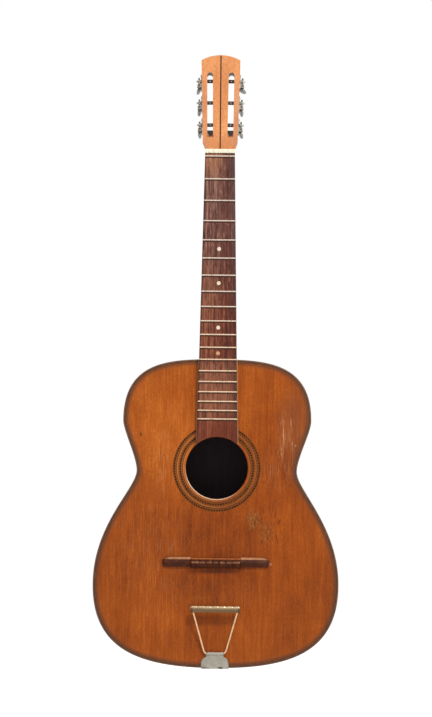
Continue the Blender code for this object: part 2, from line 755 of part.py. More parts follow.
def slot_mesh(name, sign):
    """A string slot: rounded at the top, with a ramp for the strings at the nut end."""
    slope = (SLOT_START_BACK - SLOT_START_FRONT) / HEAD_THICKNESS
    rings = []
    for depth in (-CUT_OVERRUN, HEAD_THICKNESS + CUT_OVERRUN):
        start = SLOT_START_FRONT + slope * depth
        ring = [(slot_centre(start) + SLOT_HALF * way, start) for way in (-1, 1)]
        top = SLOT_END - SLOT_HALF
        for i in range(SLOT_ARC_STEPS + 1):
            turn = pi * i / SLOT_ARC_STEPS
            ring.append((slot_centre(top) + SLOT_HALF * cos(turn), top + SLOT_HALF * sin(turn)))
        rings.append([(sign * x, along, -depth) for x, along in ring])
    return loft_mesh(name, rings)


def side_matrix(sign, along):
    """A tuner's own axes on the head's side face: X across, Y up the side, Z to the front."""
    spot = Matrix.Translation((sign * head_half(along), along, -HEAD_THICKNESS / 2))
    return head_matrix() @ spot @ Matrix.Rotation(-sign * HEAD_TAPER, 4, "Z")


def roller_reach(along):
    """Length of a roller from the side face to its seat in the middle of the head."""
    web_face = slot_centre(along) - SLOT_HALF
    return (head_half(along) - web_face + ROLLER_SEAT_DEPTH) / cos(HEAD_TAPER)


def roller_holes():
    """Cutters for the rollers' bearing holes, through the outer wall and into the middle one."""
    model = bmesh.new()
    for sign in SIDES.values():
        for along in ROLLER_PLACES:
            inner = roller_reach(along) + GAP
            length = inner + CUT_OVERRUN
            middle = Matrix.Translation((sign * (CUT_OVERRUN - inner) / 2, 0, 0))
            bmesh.ops.create_cone(
                model,
                cap_ends=True,
                segments=12,
                radius1=ROLLER_RADIUS + SHAFT_PLAY,
                radius2=ROLLER_RADIUS + SHAFT_PLAY,
                depth=length,
                matrix=side_matrix(sign, along) @ middle @ Matrix.Rotation(pi / 2, 4, "Y"),
            )
    return place("roller_holes", mesh_from("roller_holes", model))


def board_outline(margin, top):
    """The fingerboard in (x, z), its lower end cut round the sound hole."""
    arc_radius = HOLE_RADIUS + BOARD_SETBACK
    bottom = HOLE_Z + arc_radius
    for _ in range(8):
        half = board_half(bottom) + margin
        bottom = HOLE_Z + sqrt(arc_radius**2 - half**2)
    half = board_half(bottom) + margin
    arc = []
    for i in range(BOARD_ARC_STEPS + 1):
        x = half * (1 - 2 * i / BOARD_ARC_STEPS)
        arc.append((x, HOLE_Z + sqrt(arc_radius**2 - x * x)))
    return [(board_half(top) + margin, top)] + arc + [(-board_half(top) - margin, top)]


def make_fingerboard(finishes):
    mesh = flat_mesh("fingerboard", (board_outline(0, BOARD_LEAD),), BOARD_THICKNESS)
    mesh.transform(standing(BOARD_FRONT, BOARD_THICKNESS))
    board = place("fingerboard", mesh, finishes["rosewood"])
    unite(board, place("frets", frets_mesh()))
    for fret in DOT_FRETS:
        z = (fret_z(fret) + fret_z(fret - 1)) / 2
        spot = Matrix.Translation((0, BOARD_FRONT, z)) @ Matrix.Rotation(pi / 2, 4, "X")
        pocket = ((0, CUT_OVERRUN), (DOT_RADIUS + GAP, CUT_OVERRUN))
        floor = -DOT_THICKNESS - GAP
        cut(board, turned(f"pocket_{fret}", pocket + ((DOT_RADIUS + GAP, floor), (0, floor)), 12, None, spot))
        disc = ((0, 0), (DOT_RADIUS, 0), (DOT_RADIUS, -DOT_THICKNESS), (0, -DOT_THICKNESS))
        turned(f"fret_dot_{fret:02d}", disc, 12, finishes["pearl"], spot)
    shim = flat_mesh("fingerboard_shim", (board_outline(SHIM_MARGIN, BODY_TOP - GAP),), SHIM_THICKNESS)
    shim.transform(standing(NECK_FRONT, SHIM_THICKNESS))
    place("fingerboard_shim", shim, finishes["neck_wood"])


def frets_mesh():
    """The zero fret and the others, half-round bars that stand in the board."""
    model = bmesh.new()
    crown = [(cos(pi * share), sin(pi * share)) for share in FRET_CROWN]
    tang = BOARD_FRONT + FRET_HEIGHT
    for number in range(FRET_COUNT + 1):
        z = fret_z(number)
        half = board_half(z) - FRET_END_INSET
        section = [(z + FRET_WIDTH / 2 * a, BOARD_FRONT - FRET_HEIGHT * b) for a, b in crown]
        section += [(z - FRET_TANG_HALF, tang), (z + FRET_TANG_HALF, tang)]
        ends = [[model.verts.new((x, y, at)) for at, y in section] for x in (half, -half)]
        for i in range(len(section)):
            j = (i + 1) % len(section)
            model.faces.new((ends[0][i], ends[0][j], ends[1][j], ends[1][i]))
        model.faces.new(ends[0])
        model.faces.new(ends[1])
    return mesh_from("frets", model)


def string_places(spread):
    return [spread * (i / (STRING_COUNT - 1) - 0.5) for i in range(STRING_COUNT)]


def make_nut(finishes):
    back, front = NECK_FRONT - GAP, NECK_FRONT - GAP - NUT_HEIGHT
    low, high = (-NUT_HALF, front, NUT_START), (NUT_HALF, back, NUT_START + NUT_LENGTH)
    nut = place("nut", box_mesh("nut", [(low, high)]), finishes["bone"])
    rounding = nut.modifiers.new("Rounding", "BEVEL")
    rounding.width = NUT_ROUNDING
    rounding.segments = 1
    rounding.limit_method = "ANGLE"
    notches = [
        ((x - NOTCH_HALF, front - CUT_OVERRUN, NUT_START - CUT_OVERRUN),
         (x + NOTCH_HALF, front + NOTCH_DEPTH, NUT_START + NUT_LENGTH + CUT_OVERRUN))
        for x in string_places(STRING_SPREAD)
    ]
    cut(nut, place("nut_notches", box_mesh("nut_notches", notches)))


def make_bridge(finishes):
    """A carved bridge: a tall roofed middle, low roofed wings and rounded tips."""
    mirrored = tuple((-x, *rest) for x, *rest in reversed(BRIDGE_SECTIONS))
    sections = []
    for x, up, down, shoulder, crest in BRIDGE_SECTIONS + mirrored:
        sections.append([
            (x, -GAP, BRIDGE_Z + up),
            (x, -GAP - shoulder, BRIDGE_Z + up),
            (x, -GAP - crest, BRIDGE_Z + BRIDGE_RIDGE_HALF),
            (x, -GAP - crest, BRIDGE_Z - BRIDGE_RIDGE_HALF),
            (x, -GAP - shoulder, BRIDGE_Z - down),
            (x, -GAP, BRIDGE_Z - down),
        ])
    bridge = place("bridge", loft_mesh("bridge", sections), finishes["ebonised"])
    notches = [
        ((x - NOTCH_HALF, -GAP - BRIDGE_CREST - CUT_OVERRUN, BRIDGE_Z - BRIDGE_REACH_DOWN),
         (x + NOTCH_HALF, -GAP - BRIDGE_CREST + NOTCH_DEPTH, BRIDGE_Z + BRIDGE_REACH_UP))
        for x in string_places(BRIDGE_NOTCH_SPREAD)
    ]
    cut(bridge, place("bridge_notches", box_mesh("bridge_notches", notches)))


def make_tailpiece(finishes):
    make_tail_plate(finishes)
    hinge = empty("tailpiece_hinge", Matrix.Translation((0, -PIN_LIFT, HINGE_Z)))
    slope = atan(BAR_LIFT / BAR_RISE)
    make_wire(finishes, hinge, slope)
    make_bar(finishes, hinge, slope)


def make_tail_plate(finishes):
    """A sheet rolled round the hinge wire, laid on the soundboard and bent down over the tail."""
    roll = SHEET / 2 + SHAFT_PLAY + WIRE_RADIUS
    seat = -GAP - SHEET / 2
    foot = BODY_BOTTOM - GAP - SHEET / 2
    bend = GAP + SHEET / 2
    rows = [(drop, foot, half) for drop, half in TAIL_DROPS]
    for i in range(PLATE_BEND_STEPS + 1):
        turn = pi / 2 * i / PLATE_BEND_STEPS
        rows.append((seat + bend * (1 - sin(turn)), foot + bend * (1 - cos(turn)), PLATE_FOOT_HALF))
    rows += [(seat, foot + rise, half) for rise, half in PLATE_RISES]
    rows.append((seat, HINGE_Z - PLATE_THROAT_DROP, PLATE_THROAT_HALF))
    for i in range(BARREL_STEPS + 1):
        turn = -pi / 2 + BARREL_TURN * i / BARREL_STEPS
        y = -PIN_LIFT - roll * sin(turn)
        rows.append((y, HINGE_Z + roll * cos(turn), BARREL_HALF_LENGTH))
    grid = [[(half * across, y, z) for across in (-1, -0.5, 0, 0.5, 1)] for y, z, half in rows]
    mesh = sheet_mesh("tailpiece_plate", grid, Vector((0, -1, 0)))
    thicken(place("tailpiece_plate", mesh, finishes["nickel"]), SHEET, 0)


def make_wire(finishes, hinge, slope):
    """The trapeze wire: two rods joined by the pin that turns in the barrel."""
    half = [(ROD_HALF_SPREAD, BAR_RISE - ROD_TOP_CLEARANCE), *WIRE_CORNER]
    path = half + [(-x, rise) for x, rise in reversed(half)]
    curve = bpy.data.curves.new("tailpiece_wire", "CURVE")
    curve.dimensions = "3D"
    curve.bevel_depth = WIRE_RADIUS
    curve.bevel_resolution = 2
    curve.use_fill_caps = True
    spline = curve.splines.new("POLY")
    spline.points.add(len(path) - 1)
    for point, (x, rise) in zip(spline.points, path):
        point.co = (x, -rise * sin(slope), rise * cos(slope), 1)
    mesh = baked_curve("tailpiece_wire", curve)
    smooth(place("tailpiece_wire", mesh, finishes["nickel"], None, hinge), 50)


def make_bar(finishes, hinge, slope):
    """The string bar, a strip with its upper edge rolled back over the ends of the rods."""
    face = -WIRE_RADIUS - GAP - BAR_SHEET / 2
    roll = -face
    top = BAR_RISE - roll
    low = top - BAR_HEIGHT + roll
    profile = [(face - BAR_LIP, low), (face, low + BAR_LIP_HEIGHT), (face, top)]
    for i in range(1, BAR_ROLL_STEPS + 1):
        turn = pi * i / BAR_ROLL_STEPS
        profile.append((face * cos(turn), top + roll * sin(turn)))
    profile.append((roll, top - BAR_TUCK))
    leant = Matrix.Rotation(slope, 4, "X")
    rows = [[leant @ Vector((BAR_HALF_LENGTH * x, y, z)) for x in BAR_STATIONS] for y, z in profile]
    mesh = sheet_mesh("tailpiece_bar", rows, Vector((0, -1, 0)))
    bar = thicken(place("tailpiece_bar", mesh, finishes["nickel"], None, hinge), BAR_SHEET, 0)
    high = top + roll + CUT_OVERRUN
    notches = [
        ((x - BAR_NOTCH_HALF, face - CUT_OVERRUN, top), (x + BAR_NOTCH_HALF, BAR_NOTCH_DEPTH, high))
        for x in string_places(BAR_NOTCH_SPREAD)
    ]
    mesh = box_mesh("bar_notches", notches)
    mesh.transform(leant)
    cut(bar, place("bar_notches", mesh, None, None, hinge))


def gear_mesh(name):
    """A toothed wheel about Z with a bored middle and a space between teeth at the bottom."""
    step = 2 * pi / GEAR_TEETH
    shape = ((-TOOTH_ROOT_SHARE, -DEDENDUM), (-TOOTH_TIP_SHARE, ADDENDUM), (TOOTH_TIP_SHARE, ADDENDUM))
    shape += ((TOOTH_ROOT_SHARE, -DEDENDUM),)
    points = []
    for tooth in range(GEAR_TEETH):
        for share, out in shape:
            turn = -pi / 2 + step * (tooth + 0.5 + share / 2)
            radius = GEAR_PITCH_RADIUS + out
            points.append((radius * cos(turn), radius * sin(turn)))
    mesh = flat_mesh(name, (points, circle(STUB_RADIUS + SHAFT_PLAY, 10)), GEAR_THICKNESS)
    mesh.transform(Matrix.Translation((0, 0, -GEAR_THICKNESS / 2)))
    return mesh


def make_gear(name, sign, finishes, axis):
    across = Matrix.Translation((sign * GEAR_MIDDLE, 0, 0)) @ Matrix.Rotation(sign * pi / 2, 4, "Y")
    gear = place(name, gear_mesh(name), finishes["gear_metal"], across, axis)
    twist = gear.modifiers.new("Twist", "SIMPLE_DEFORM")
    twist.deform_method = "TWIST"
    twist.deform_axis = "Z"
    twist.angle = GEAR_THICKNESS * tan(LEAD_ANGLE) / GEAR_PITCH_RADIUS


def make_roller(name, sign, along, finishes, axis):
    """The string roller with its shouldered stub and the screw head that holds the gear."""
    shoulder = GEAR_MIDDLE - GEAR_THICKNESS / 2 - GAP
    head = GEAR_MIDDLE + GEAR_THICKNESS / 2 + GAP
    profile = (
        *((radius, head + height) for radius, height in SCREW_HEAD),
        (STUB_RADIUS, head),
        (STUB_RADIUS, shoulder),
        (ROLLER_RADIUS, shoulder),
        (ROLLER_RADIUS, -roller_reach(along)),
        (0, -roller_reach(along)),
    )
    across = Matrix.Rotation(sign * pi / 2, 4, "Y")
    roller = turned(name, profile, 10, finishes["roller_steel"], across, axis)
    middle = sign * (slot_centre(along) - head_half(along))
    model = bmesh.new()
    bmesh.ops.create_cone(
        model,
        cap_ends=True,
        segments=8,
        radius1=STRING_HOLE_RADIUS,
        radius2=STRING_HOLE_RADIUS,
        depth=2 * (ROLLER_RADIUS + CUT_OVERRUN),
        matrix=Matrix.Translation((middle, 0, 0)),
    )
    cut(roller, place(f"{name}_string_hole", mesh_from(name, model), None, None, axis))


def thread_mesh(name):
    """The worm's thread: a roofed ridge wound round the shaft, a crest facing the gear's middle."""
    root = WORM_PITCH_RADIUS - DEDENDUM - THREAD_SINK
    tip = WORM_PITCH_RADIUS + ADDENDUM
    slope = (THREAD_ROOT_HALF - THREAD_TIP_HALF) / (ADDENDUM + DEDENDUM)
    base = THREAD_ROOT_HALF + slope * THREAD_SINK
    count = THREAD_TURNS * THREAD_STEPS
    sections = []
    for i in range(count + 1):
        turns = i / THREAD_STEPS - THREAD_TURNS / 2
        turn = 2 * pi * turns + pi / 2
        height = THREAD_PITCH * turns
        ring = ((root, -base), (tip, -THREAD_TIP_HALF), (tip, THREAD_TIP_HALF), (root, base))
        sections.append([(r * cos(turn), r * sin(turn), height + up) for r, up in ring])
    return loft_mesh(name, sections)


def make_worm(name, finishes, axis):
    root = WORM_PITCH_RADIUS - DEDENDUM
    collar = EAR_INNER - GAP
    profile = (
        (0, WORM_FRONT_END),
        (WORM_JOURNAL_RADIUS - WORM_CHAMFER, WORM_FRONT_END),
        (WORM_JOURNAL_RADIUS, WORM_FRONT_END - WORM_CHAMFER),
        (WORM_JOURNAL_RADIUS, collar),
        (root, collar),
        (root, -collar),
        (SHANK_RADIUS, -collar),
        (SHANK_RADIUS, -SHANK_END),
        (0, -SHANK_END),
    )
    worm = turned(name, profile, THREAD_STEPS, finishes["worm_steel"], None, axis)
    unite(worm, place(f"{name}_thread", thread_mesh(name), None, None, axis))


def button_mesh(name):
    """A flat oval grip on a round collar, along -Z."""
    start = SHANK_END - SHANK_SEAT
    ring = circle(1, 10)
    sections = [
        [(thick * a, wide * b, -start - along) for a, b in ring]
        for along, wide, thick in BUTTON_SECTIONS
    ]
    return loft_mesh(name, sections)


def make_button(name, turn, finishes, axis):
    turned_about = Matrix.Rotation(radians(turn), 4, "Z")
    button = place(name, button_mesh(name), finishes["button_metal"], turned_about, axis)
    mouth, floor = -SHANK_END + SHANK_SEAT + CUT_OVERRUN, -SHANK_END - GAP
    radius = SHANK_RADIUS + GAP
    bore = ((0, mouth), (radius, mouth), (radius, floor), (0, floor))
    cut(button, turned(f"{name}_bore", bore, 8, None, None, axis))
    smooth(button, 50)


def rounded_corners(left, right, bottom, top, radius, steps):
    corners = (
        (right - radius, top - radius, 0), (left + radius, top - radius, 1),
        (left + radius, bottom + radius, 2), (right - radius, bottom + radius, 3),
    )
    points = []
    for x, y, quarter in corners:
        for i in range(steps + 1):
            turn = pi / 2 * (quarter + i / steps)
            points.append((x + radius * cos(turn), y + radius * sin(turn)))
    return points


def make_tuner_plate(name, sign, finishes, matrix):
    """A plate on the head's side with two ears that carry the worm."""
    outline = rounded_corners(-PLATE_HALF_WIDTH, PLATE_HALF_WIDTH, -PLATE_BOTTOM, PLATE_TOP, PLATE_CORNER, 2)
    mesh = flat_mesh(name, (outline, circle(ROLLER_RADIUS + SHAFT_PLAY, 10)), PLATE_THICKNESS)
    upright = Matrix.Rotation(sign * pi / 2, 4, "Y") @ Matrix.Translation((0, 0, GAP))
    mesh.transform(upright)
    plate = place(name, mesh, finishes["plate_steel"], matrix)
    ear = ear_outline()
    for end, near in (("front", EAR_INNER), ("back", -EAR_INNER - EAR_THICKNESS)):
        bore = circle(SHANK_RADIUS + SHAFT_PLAY, 10, (GEAR_MIDDLE, -CENTRE_DISTANCE))
        tab = flat_mesh(f"{name}_{end}", (ear, bore), EAR_THICKNESS)
        tab.transform(Matrix.Translation((0, 0, near)))
        if sign < 0:
            tab.transform(Matrix.Scale(-1, 4, (1, 0, 0)))
            tab.flip_normals()
        unite(plate, place(f"{name}_{end}", tab, None, matrix))


def ear_outline():
    """An ear from the plate's face out round the worm's axis, drawn in (x, y)."""
    root = PLATE_FACE - EAR_ROOT
    points = [(root, -CENTRE_DISTANCE + EAR_HALF), (root, -CENTRE_DISTANCE - EAR_HALF)]
    for i in range(6):
        turn = -pi / 2 + pi * i / 5
        points.append((GEAR_MIDDLE + EAR_HALF * cos(turn), -CENTRE_DISTANCE + EAR_HALF * sin(turn)))
    return points


def make_tuners(side, sign, finishes):
    for number, along in enumerate(ROLLER_PLACES, start=1):
        matrix = side_matrix(sign, along)
        make_tuner_plate(f"tuner_plate_{side}_{number}", sign, finishes, matrix)
        roller_axis = empty(f"roller_axis_{side}_{number}", matrix)
        make_roller(f"roller_{side}_{number}", sign, along, finishes, roller_axis)
        make_gear(f"gear_{side}_{number}", sign, finishes, roller_axis)
        offset = Matrix.Translation((sign * GEAR_MIDDLE, -CENTRE_DISTANCE, 0))
        worm_axis = empty(f"worm_axis_{side}_{number}", matrix @ offset)
        make_worm(f"worm_{side}_{number}", finishes, worm_axis)
        make_button(f"button_{side}_{number}", BUTTON_TURNS[side, number], finishes, worm_axis)


def make_finishes():
    return {
        "spruce": material("Aged spruce", (0.46, 0.105, 0.017), 0.35),
        "purfling": material("Rope purfling", (0.30, 0.16, 0.07), 0.4),
        "binding": material("Aged binding", (0.32, 0.20, 0.12), 0.4),
        "side_wood": material("Mahogany", (0.20, 0.055, 0.02), 0.35),
        "inner_wood": material("Bare spruce", (0.50, 0.30, 0.14), 0.75),
        "neck_wood": material("Lacquered mahogany", (0.62, 0.24, 0.08), 0.35),
        "rosewood": material("Rosewood", (0.13, 0.035, 0.025), 0.5),
        "pearl": material("Aged pearloid", (0.75, 0.62, 0.42), 0.3),
        "bone": material("Bone", (0.80, 0.72, 0.52), 0.4),
        "ebonised": material("Ebonised maple", (0.05, 0.018, 0.012), 0.4),
        "nickel": material("Worn nickel", (0.62, 0.52, 0.42), 0.3, 1.0),
        "plate_steel": material("Nickelled plate", (0.40, 0.36, 0.32), 0.35, 1.0),
        "gear_metal": material("Brass gear", (0.42, 0.36, 0.27), 0.35, 1.0),
        "worm_steel": material("Worm steel", (0.35, 0.33, 0.31), 0.35, 1.0),
        "roller_steel": material("Blued steel", (0.10, 0.09, 0.09), 0.35, 1.0),
        "button_metal": material("Cast button", (0.36, 0.36, 0.35), 0.4, 1.0),
    }


def main():
    clear_scene()
    finishes = make_finishes()
    make_soundboard(finishes)
    make_binding(finishes)
    make_back(finishes)
    make_blocks(finishes)
    make_braces(finishes)
    for side, sign in SIDES.items():
        make_rib(side, sign, finishes)
        make_linings(side, sign, finishes)
    make_neck(finishes)
    make_fingerboard(finishes)
    make_nut(finishes)
    make_bridge(finishes)
    make_tailpiece(finishes)
    for side, sign in SIDES.items():
        make_tuners(side, sign, finishes)


main()
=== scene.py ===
# %% [markdown]
# # An old flat-top guitar, dressed for its photograph
#
# The packed solids are the guitar's skeleton: they fix every size and say what moves. This lesson puts the wood,
# varnish, inlay and worn metal on them. Nothing here changes a size. Each step first says what the piece is on a real
# guitar and how it could be made in Blender, then makes it.

# %% The frame
from math import atan, atan2, cos, hypot, pi, radians, sin, sqrt

import bmesh
import bpy
from mathutils import Matrix, Vector


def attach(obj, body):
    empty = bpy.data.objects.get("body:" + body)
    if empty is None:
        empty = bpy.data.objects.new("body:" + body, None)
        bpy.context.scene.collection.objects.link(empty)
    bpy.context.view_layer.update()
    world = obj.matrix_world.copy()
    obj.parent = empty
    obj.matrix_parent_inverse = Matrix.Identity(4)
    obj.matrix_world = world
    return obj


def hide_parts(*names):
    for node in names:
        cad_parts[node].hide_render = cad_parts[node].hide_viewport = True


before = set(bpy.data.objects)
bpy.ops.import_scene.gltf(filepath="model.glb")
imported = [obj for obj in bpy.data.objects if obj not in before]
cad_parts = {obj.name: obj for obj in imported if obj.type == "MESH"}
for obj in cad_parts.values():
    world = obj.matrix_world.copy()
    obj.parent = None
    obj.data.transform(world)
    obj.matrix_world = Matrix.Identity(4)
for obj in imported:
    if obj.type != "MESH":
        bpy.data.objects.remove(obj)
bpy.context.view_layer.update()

# %% [markdown]
# ## The guitar's own numbers
#
# A luthier draws the body from a few widths and the distances between them. The same numbers as in the solids are
# written here once, in metres, so that each finer piece lands exactly where its solid is. +Z runs up the neck, the
# top faces -Y, and the origin is at the zero fret.

# %% Sizes
GAP = 0.0003
SCALE_LENGTH = 0.640
BODY_TOP = -SCALE_LENGTH * (1 - 2 ** (-12 / 12))
BODY_LENGTH = 0.486
BODY_BOTTOM = BODY_TOP - BODY_LENGTH
HOLE_Z = BODY_TOP - 0.171
HOLE_RADIUS = 0.049
TOP_THICKNESS = 0.0028
BACK_THICKNESS = 0.0030
RIB_THICKNESS = 0.0024
BINDING_WIDTH, BINDING_HEIGHT = 0.0024, 0.0050
NECK_FRONT = -0.0040
BOARD_BACK, BOARD_FRONT = -0.0043, -0.0103
HALF_AT_NUT, HALF_AT_BODY = 0.0235, 0.02965
HEAD_START = 0.0116
HEAD_THICKNESS = 0.0200
HINGE_Z = BODY_BOTTOM + 0.023
ROSETTE_RADII = (0.0575, 0.0670)


def fret_z(number):
    return -SCALE_LENGTH * (1 - 2 ** (-number / 12))


def board_half(z):
    """Half width of the fingerboard at height z."""
    return HALF_AT_NUT + (HALF_AT_BODY - HALF_AT_NUT) * z / BODY_TOP


print("body from", BODY_TOP, "to", BODY_BOTTOM, "hinge at", round(HINGE_Z, 4))

# %% [markdown]
# ## Shader sums written as Python
#
# A wood or metal finish is mostly sums on patterns: streaks times a tint, minus some wear. Wiring them by hand in the
# node editor is slow to read. This class holds one socket and overloads the operators, so that `1 - wear * 0.5` adds
# the Math nodes by itself. Anything that isn't a sum goes through one method, `node`. Colours are written as codes and
# laid over each other like coats of paint, each with how much of it shows.


# %% Colours
def tint(code):
    """A colour written as it looks, such as 'b8602a', as the numbers that light uses."""
    shares = [int(code[i : i + 2], 16) / 255 for i in (0, 2, 4)]
    return (*(s / 12.92 if s <= 0.04045 else ((s + 0.055) / 1.055) ** 2.4 for s in shares), 1.0)


print("wood brown in light's numbers:", [round(v, 3) for v in tint("b8602a")])


# %% A socket that can be added and multiplied
class Wire:
    """A socket in a node tree, or with no socket just the tree."""

    def __init__(self, tree, socket=None):
        self.tree, self.socket = tree, socket

    def node(self, kind, settings=None, inputs=None, output=0):
        made = self.tree.nodes.new(kind)
        for name, value in (settings or {}).items():
            if name == "stops":
                ramp = made.color_ramp.elements
                for place, colour in value[1:-1]:
                    ramp.new(place).color = colour
                (ramp[0].position, ramp[0].color), (ramp[-1].position, ramp[-1].color) = value[0], value[-1]
            else:
                setattr(made, name, value)
        for key, value in (inputs or {}).items():
            if isinstance(value, Wire):
                self.tree.links.new(value.socket, made.inputs[key])
            else:
                made.inputs[key].default_value = value
        return Wire(self.tree, made.outputs[output] if made.outputs else None)

    def maths(self, operation, *values):
        return self.node("ShaderNodeMath", {"operation": operation}, dict(enumerate(values)))

    def __add__(self, other):
        return self.maths("ADD", self, other)

    def __sub__(self, other):
        return self.maths("SUBTRACT", self, other)

    def __rsub__(self, other):
        return self.maths("SUBTRACT", other, self)

    def __mul__(self, other):
        return self.maths("MULTIPLY", self, other)

    def __truediv__(self, other):
        return self.maths("DIVIDE", self, other)

    __radd__, __rmul__ = __add__, __mul__

    def positive(self):
        return self.maths("ABSOLUTE", self)

    def step(self, low, high):
        """0 below low, 1 above high and a soft slope between, or the other way round."""
        ends = {"From Min": low, "From Max": high, "Value": self}
        return self.node("ShaderNodeMapRange", {"interpolation_type": "SMOOTHSTEP"}, ends)

    def band(self, start, full, fading, end):
        """1 from full to fading, with soft slopes from start and down to end."""
        return self.step(start, full) * self.step(end, fading)

    def choose(self, off, on):
        """The colour off where this is 0, on where it is 1. A code such as 'b8602a' does for either."""
        off, on = (tint(colour) if isinstance(colour, str) else colour for colour in (off, on))
        return self.node("ShaderNodeMix", {"data_type": "RGBA"}, {0: self, 6: off, 7: on}, 2)

    def vector(self, x=0.0, y=0.0, z=0.0):
        """Three numbers or sockets joined to one vector."""
        return self.node("ShaderNodeCombineXYZ", None, {0: x, 1: y, 2: z})

    def part(self, axis):
        return self.node("ShaderNodeSeparateXYZ", None, {0: self}, "XYZ".index(axis))

    def stretched(self, x, y, z):
        return self.node("ShaderNodeVectorMath", {"operation": "MULTIPLY"}, {0: self, 1: (x, y, z)})

    def moved(self, x, y, z):
        return self.node("ShaderNodeVectorMath", {"operation": "ADD"}, {0: self, 1: (x, y, z)})

    def noise(self, scale=1.0, detail=3.0, rough=0.55, bend=0.0):
        sizes = {"Vector": self, "Scale": scale, "Detail": detail, "Roughness": rough, "Distortion": bend}
        return self.node("ShaderNodeTexNoise", None, sizes)

    def away(self, x, z, wide=1.0, tall=1.0):
        """Distance from a point of the top's face, counted in half axes of an oval."""
        offset = self.moved(-x, 0, -z).stretched(1 / wide, 0, 1 / tall)
        return self.node("ShaderNodeVectorMath", {"operation": "LENGTH"}, {0: offset}, 1)

    def spot(self, x, z, wide, tall, soft=0.5):
        """1 inside an oval on the top's face, 0 outside it."""
        return self.away(x, z, wide, tall).step(1.0, 1.0 - soft)

    def spots(self, places):
        """A sum of ovals, each (x, z, half width, half height, softness, strength)."""
        total = 0.0
        for *oval, strength in places:
            total = self.spot(*oval) * strength + total
        return total

    def arc(self, x, z, radius, half):
        """1 on a thin line round a point, 0 off it."""
        return (self.away(x, z) - radius).positive().step(half, half * 0.3)

    def ramp(self, *stops):
        return self.node("ShaderNodeValToRGB", {"stops": [(place, tint(code)) for place, code in stops]}, {0: self})


print("operators on a Wire:", [name for name in vars(Wire) if name.startswith("__r")])


# %% Coats and finishes
def painted(colour, *coats):
    """Lays coats over a colour. Each is how much of it shows, from 0 to 1, and its own colour."""
    for share, coat in coats:
        colour = share.choose(colour, coat)
    return colour


def emptied(holder):
    """Clears the nodes of a material or a world, and gives a Wire to build new ones with."""
    holder.use_nodes = True
    holder.node_tree.nodes.clear()
    return Wire(holder.node_tree)


def finish(name, recipe, place="Object", **fixed):
    """A material. The recipe gets coordinates and gives what varies, and fixed numbers go on the shader itself."""
    made = bpy.data.materials.new(name)
    start = emptied(made)
    varying = recipe(start.node("ShaderNodeTexCoord", output=place))
    height, depth = varying.pop("Bump")
    varying["Normal"] = start.node("ShaderNodeBump", None, {"Height": height, "Distance": depth})
    fixed = {key.replace("_", " "): value for key, value in fixed.items()}
    shader = start.node("ShaderNodeBsdfPrincipled", None, {**fixed, **varying})
    start.node("ShaderNodeOutputMaterial", None, {"Surface": shader})
    return made


print("materials so far:", len(bpy.data.materials))

# %% [markdown]
# ## Meshes from rings
#
# Most of a guitar is one shape swept along another: a rib along the outline, a rod along its bend, a bridge along its
# own length. One helper skins a row of rings that have as many points each, and another does the same for an open
# sheet, which is given its thickness later. A last one puts a finished mesh in the scene, lets it ride on its body and
# hides the solids that it stands for.


# %% Skins and sheets
def meshed(name, made):
    """The plain mesh of what was built."""
    mesh = bpy.data.meshes.new(name)
    made.to_mesh(mesh)
    made.free()
    return mesh


def skinned(name, rings, around=False):
    """A mesh through rings, capped at both ends, or joined to itself where it goes around."""
    made = bmesh.new()
    rows = [[made.verts.new(point) for point in ring] for ring in rings]
    for row, following in zip(rows, rows[1:] + (rows[:1] if around else [])):
        for i in range(len(row)):
            j = (i + 1) % len(row)
            made.faces.new((row[i], row[j], following[j], following[i]))
    if not around:
        made.faces.new(rows[0])
        made.faces.new(rows[-1])
    bmesh.ops.remove_doubles(made, verts=made.verts, dist=1e-7)
    bmesh.ops.recalc_face_normals(made, faces=made.faces)
    return meshed(name, made)


def sheet(name, rows):
    """An open sheet through rows of points."""
    made = bmesh.new()
    rows = [[made.verts.new(point) for point in row] for row in rows]
    for row, following in zip(rows, rows[1:]):
        for i in range(len(row) - 1):
            made.faces.new((row[i], row[i + 1], following[i + 1], following[i]))
    bmesh.ops.recalc_face_normals(made, faces=made.faces)
    return meshed(name, made)


def lathed(name, profile, steps, matrix):
    """A profile of (radius, height) from axis to axis, turned about Z and then placed."""
    turns = [2 * pi * i / steps for i in range(steps)]
    rings = [[matrix @ Vector((r * cos(t), r * sin(t), h)) for t in turns] for r, h in profile]
    return skinned(name, rings)


print("a skin, a sheet and a turned shape can be made")


# %% Pieces in the scene
def linked(name, data):
    """A new object of that data, in the scene."""
    made = bpy.data.objects.new(name, data)
    bpy.context.scene.collection.objects.link(made)
    return made


def settled(piece):
    """The plain mesh of a piece as its modifiers leave it."""
    return bpy.data.meshes.new_from_object(piece.evaluated_get(bpy.context.evaluated_depsgraph_get()))


def shown(name, mesh, material, body, slot, *nodes, sharp=35):
    """Puts a mesh in the scene as a piece of the guitar."""
    if material:
        mesh.materials.clear()
        mesh.materials.append(material)
    mesh.shade_smooth()
    mesh.set_sharp_from_angle(angle=radians(sharp))
    piece = linked(name, mesh)
    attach(piece, body)
    if nodes:
        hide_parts(*nodes)
    return piece


def eased_edges(piece, width):
    """Rounds a piece's sharp edges, which catch the light."""
    bevel = piece.modifiers.new("Eased edges", "BEVEL")
    bevel.width, bevel.segments, bevel.limit_method = width, 2, "ANGLE"
    bevel.angle_limit = radians(40)


def thickened(piece, thickness):
    """Gives a sheet its thickness, half of it to each side."""
    solid = piece.modifiers.new("Sheet", "SOLIDIFY")
    solid.thickness, solid.offset = thickness, 0


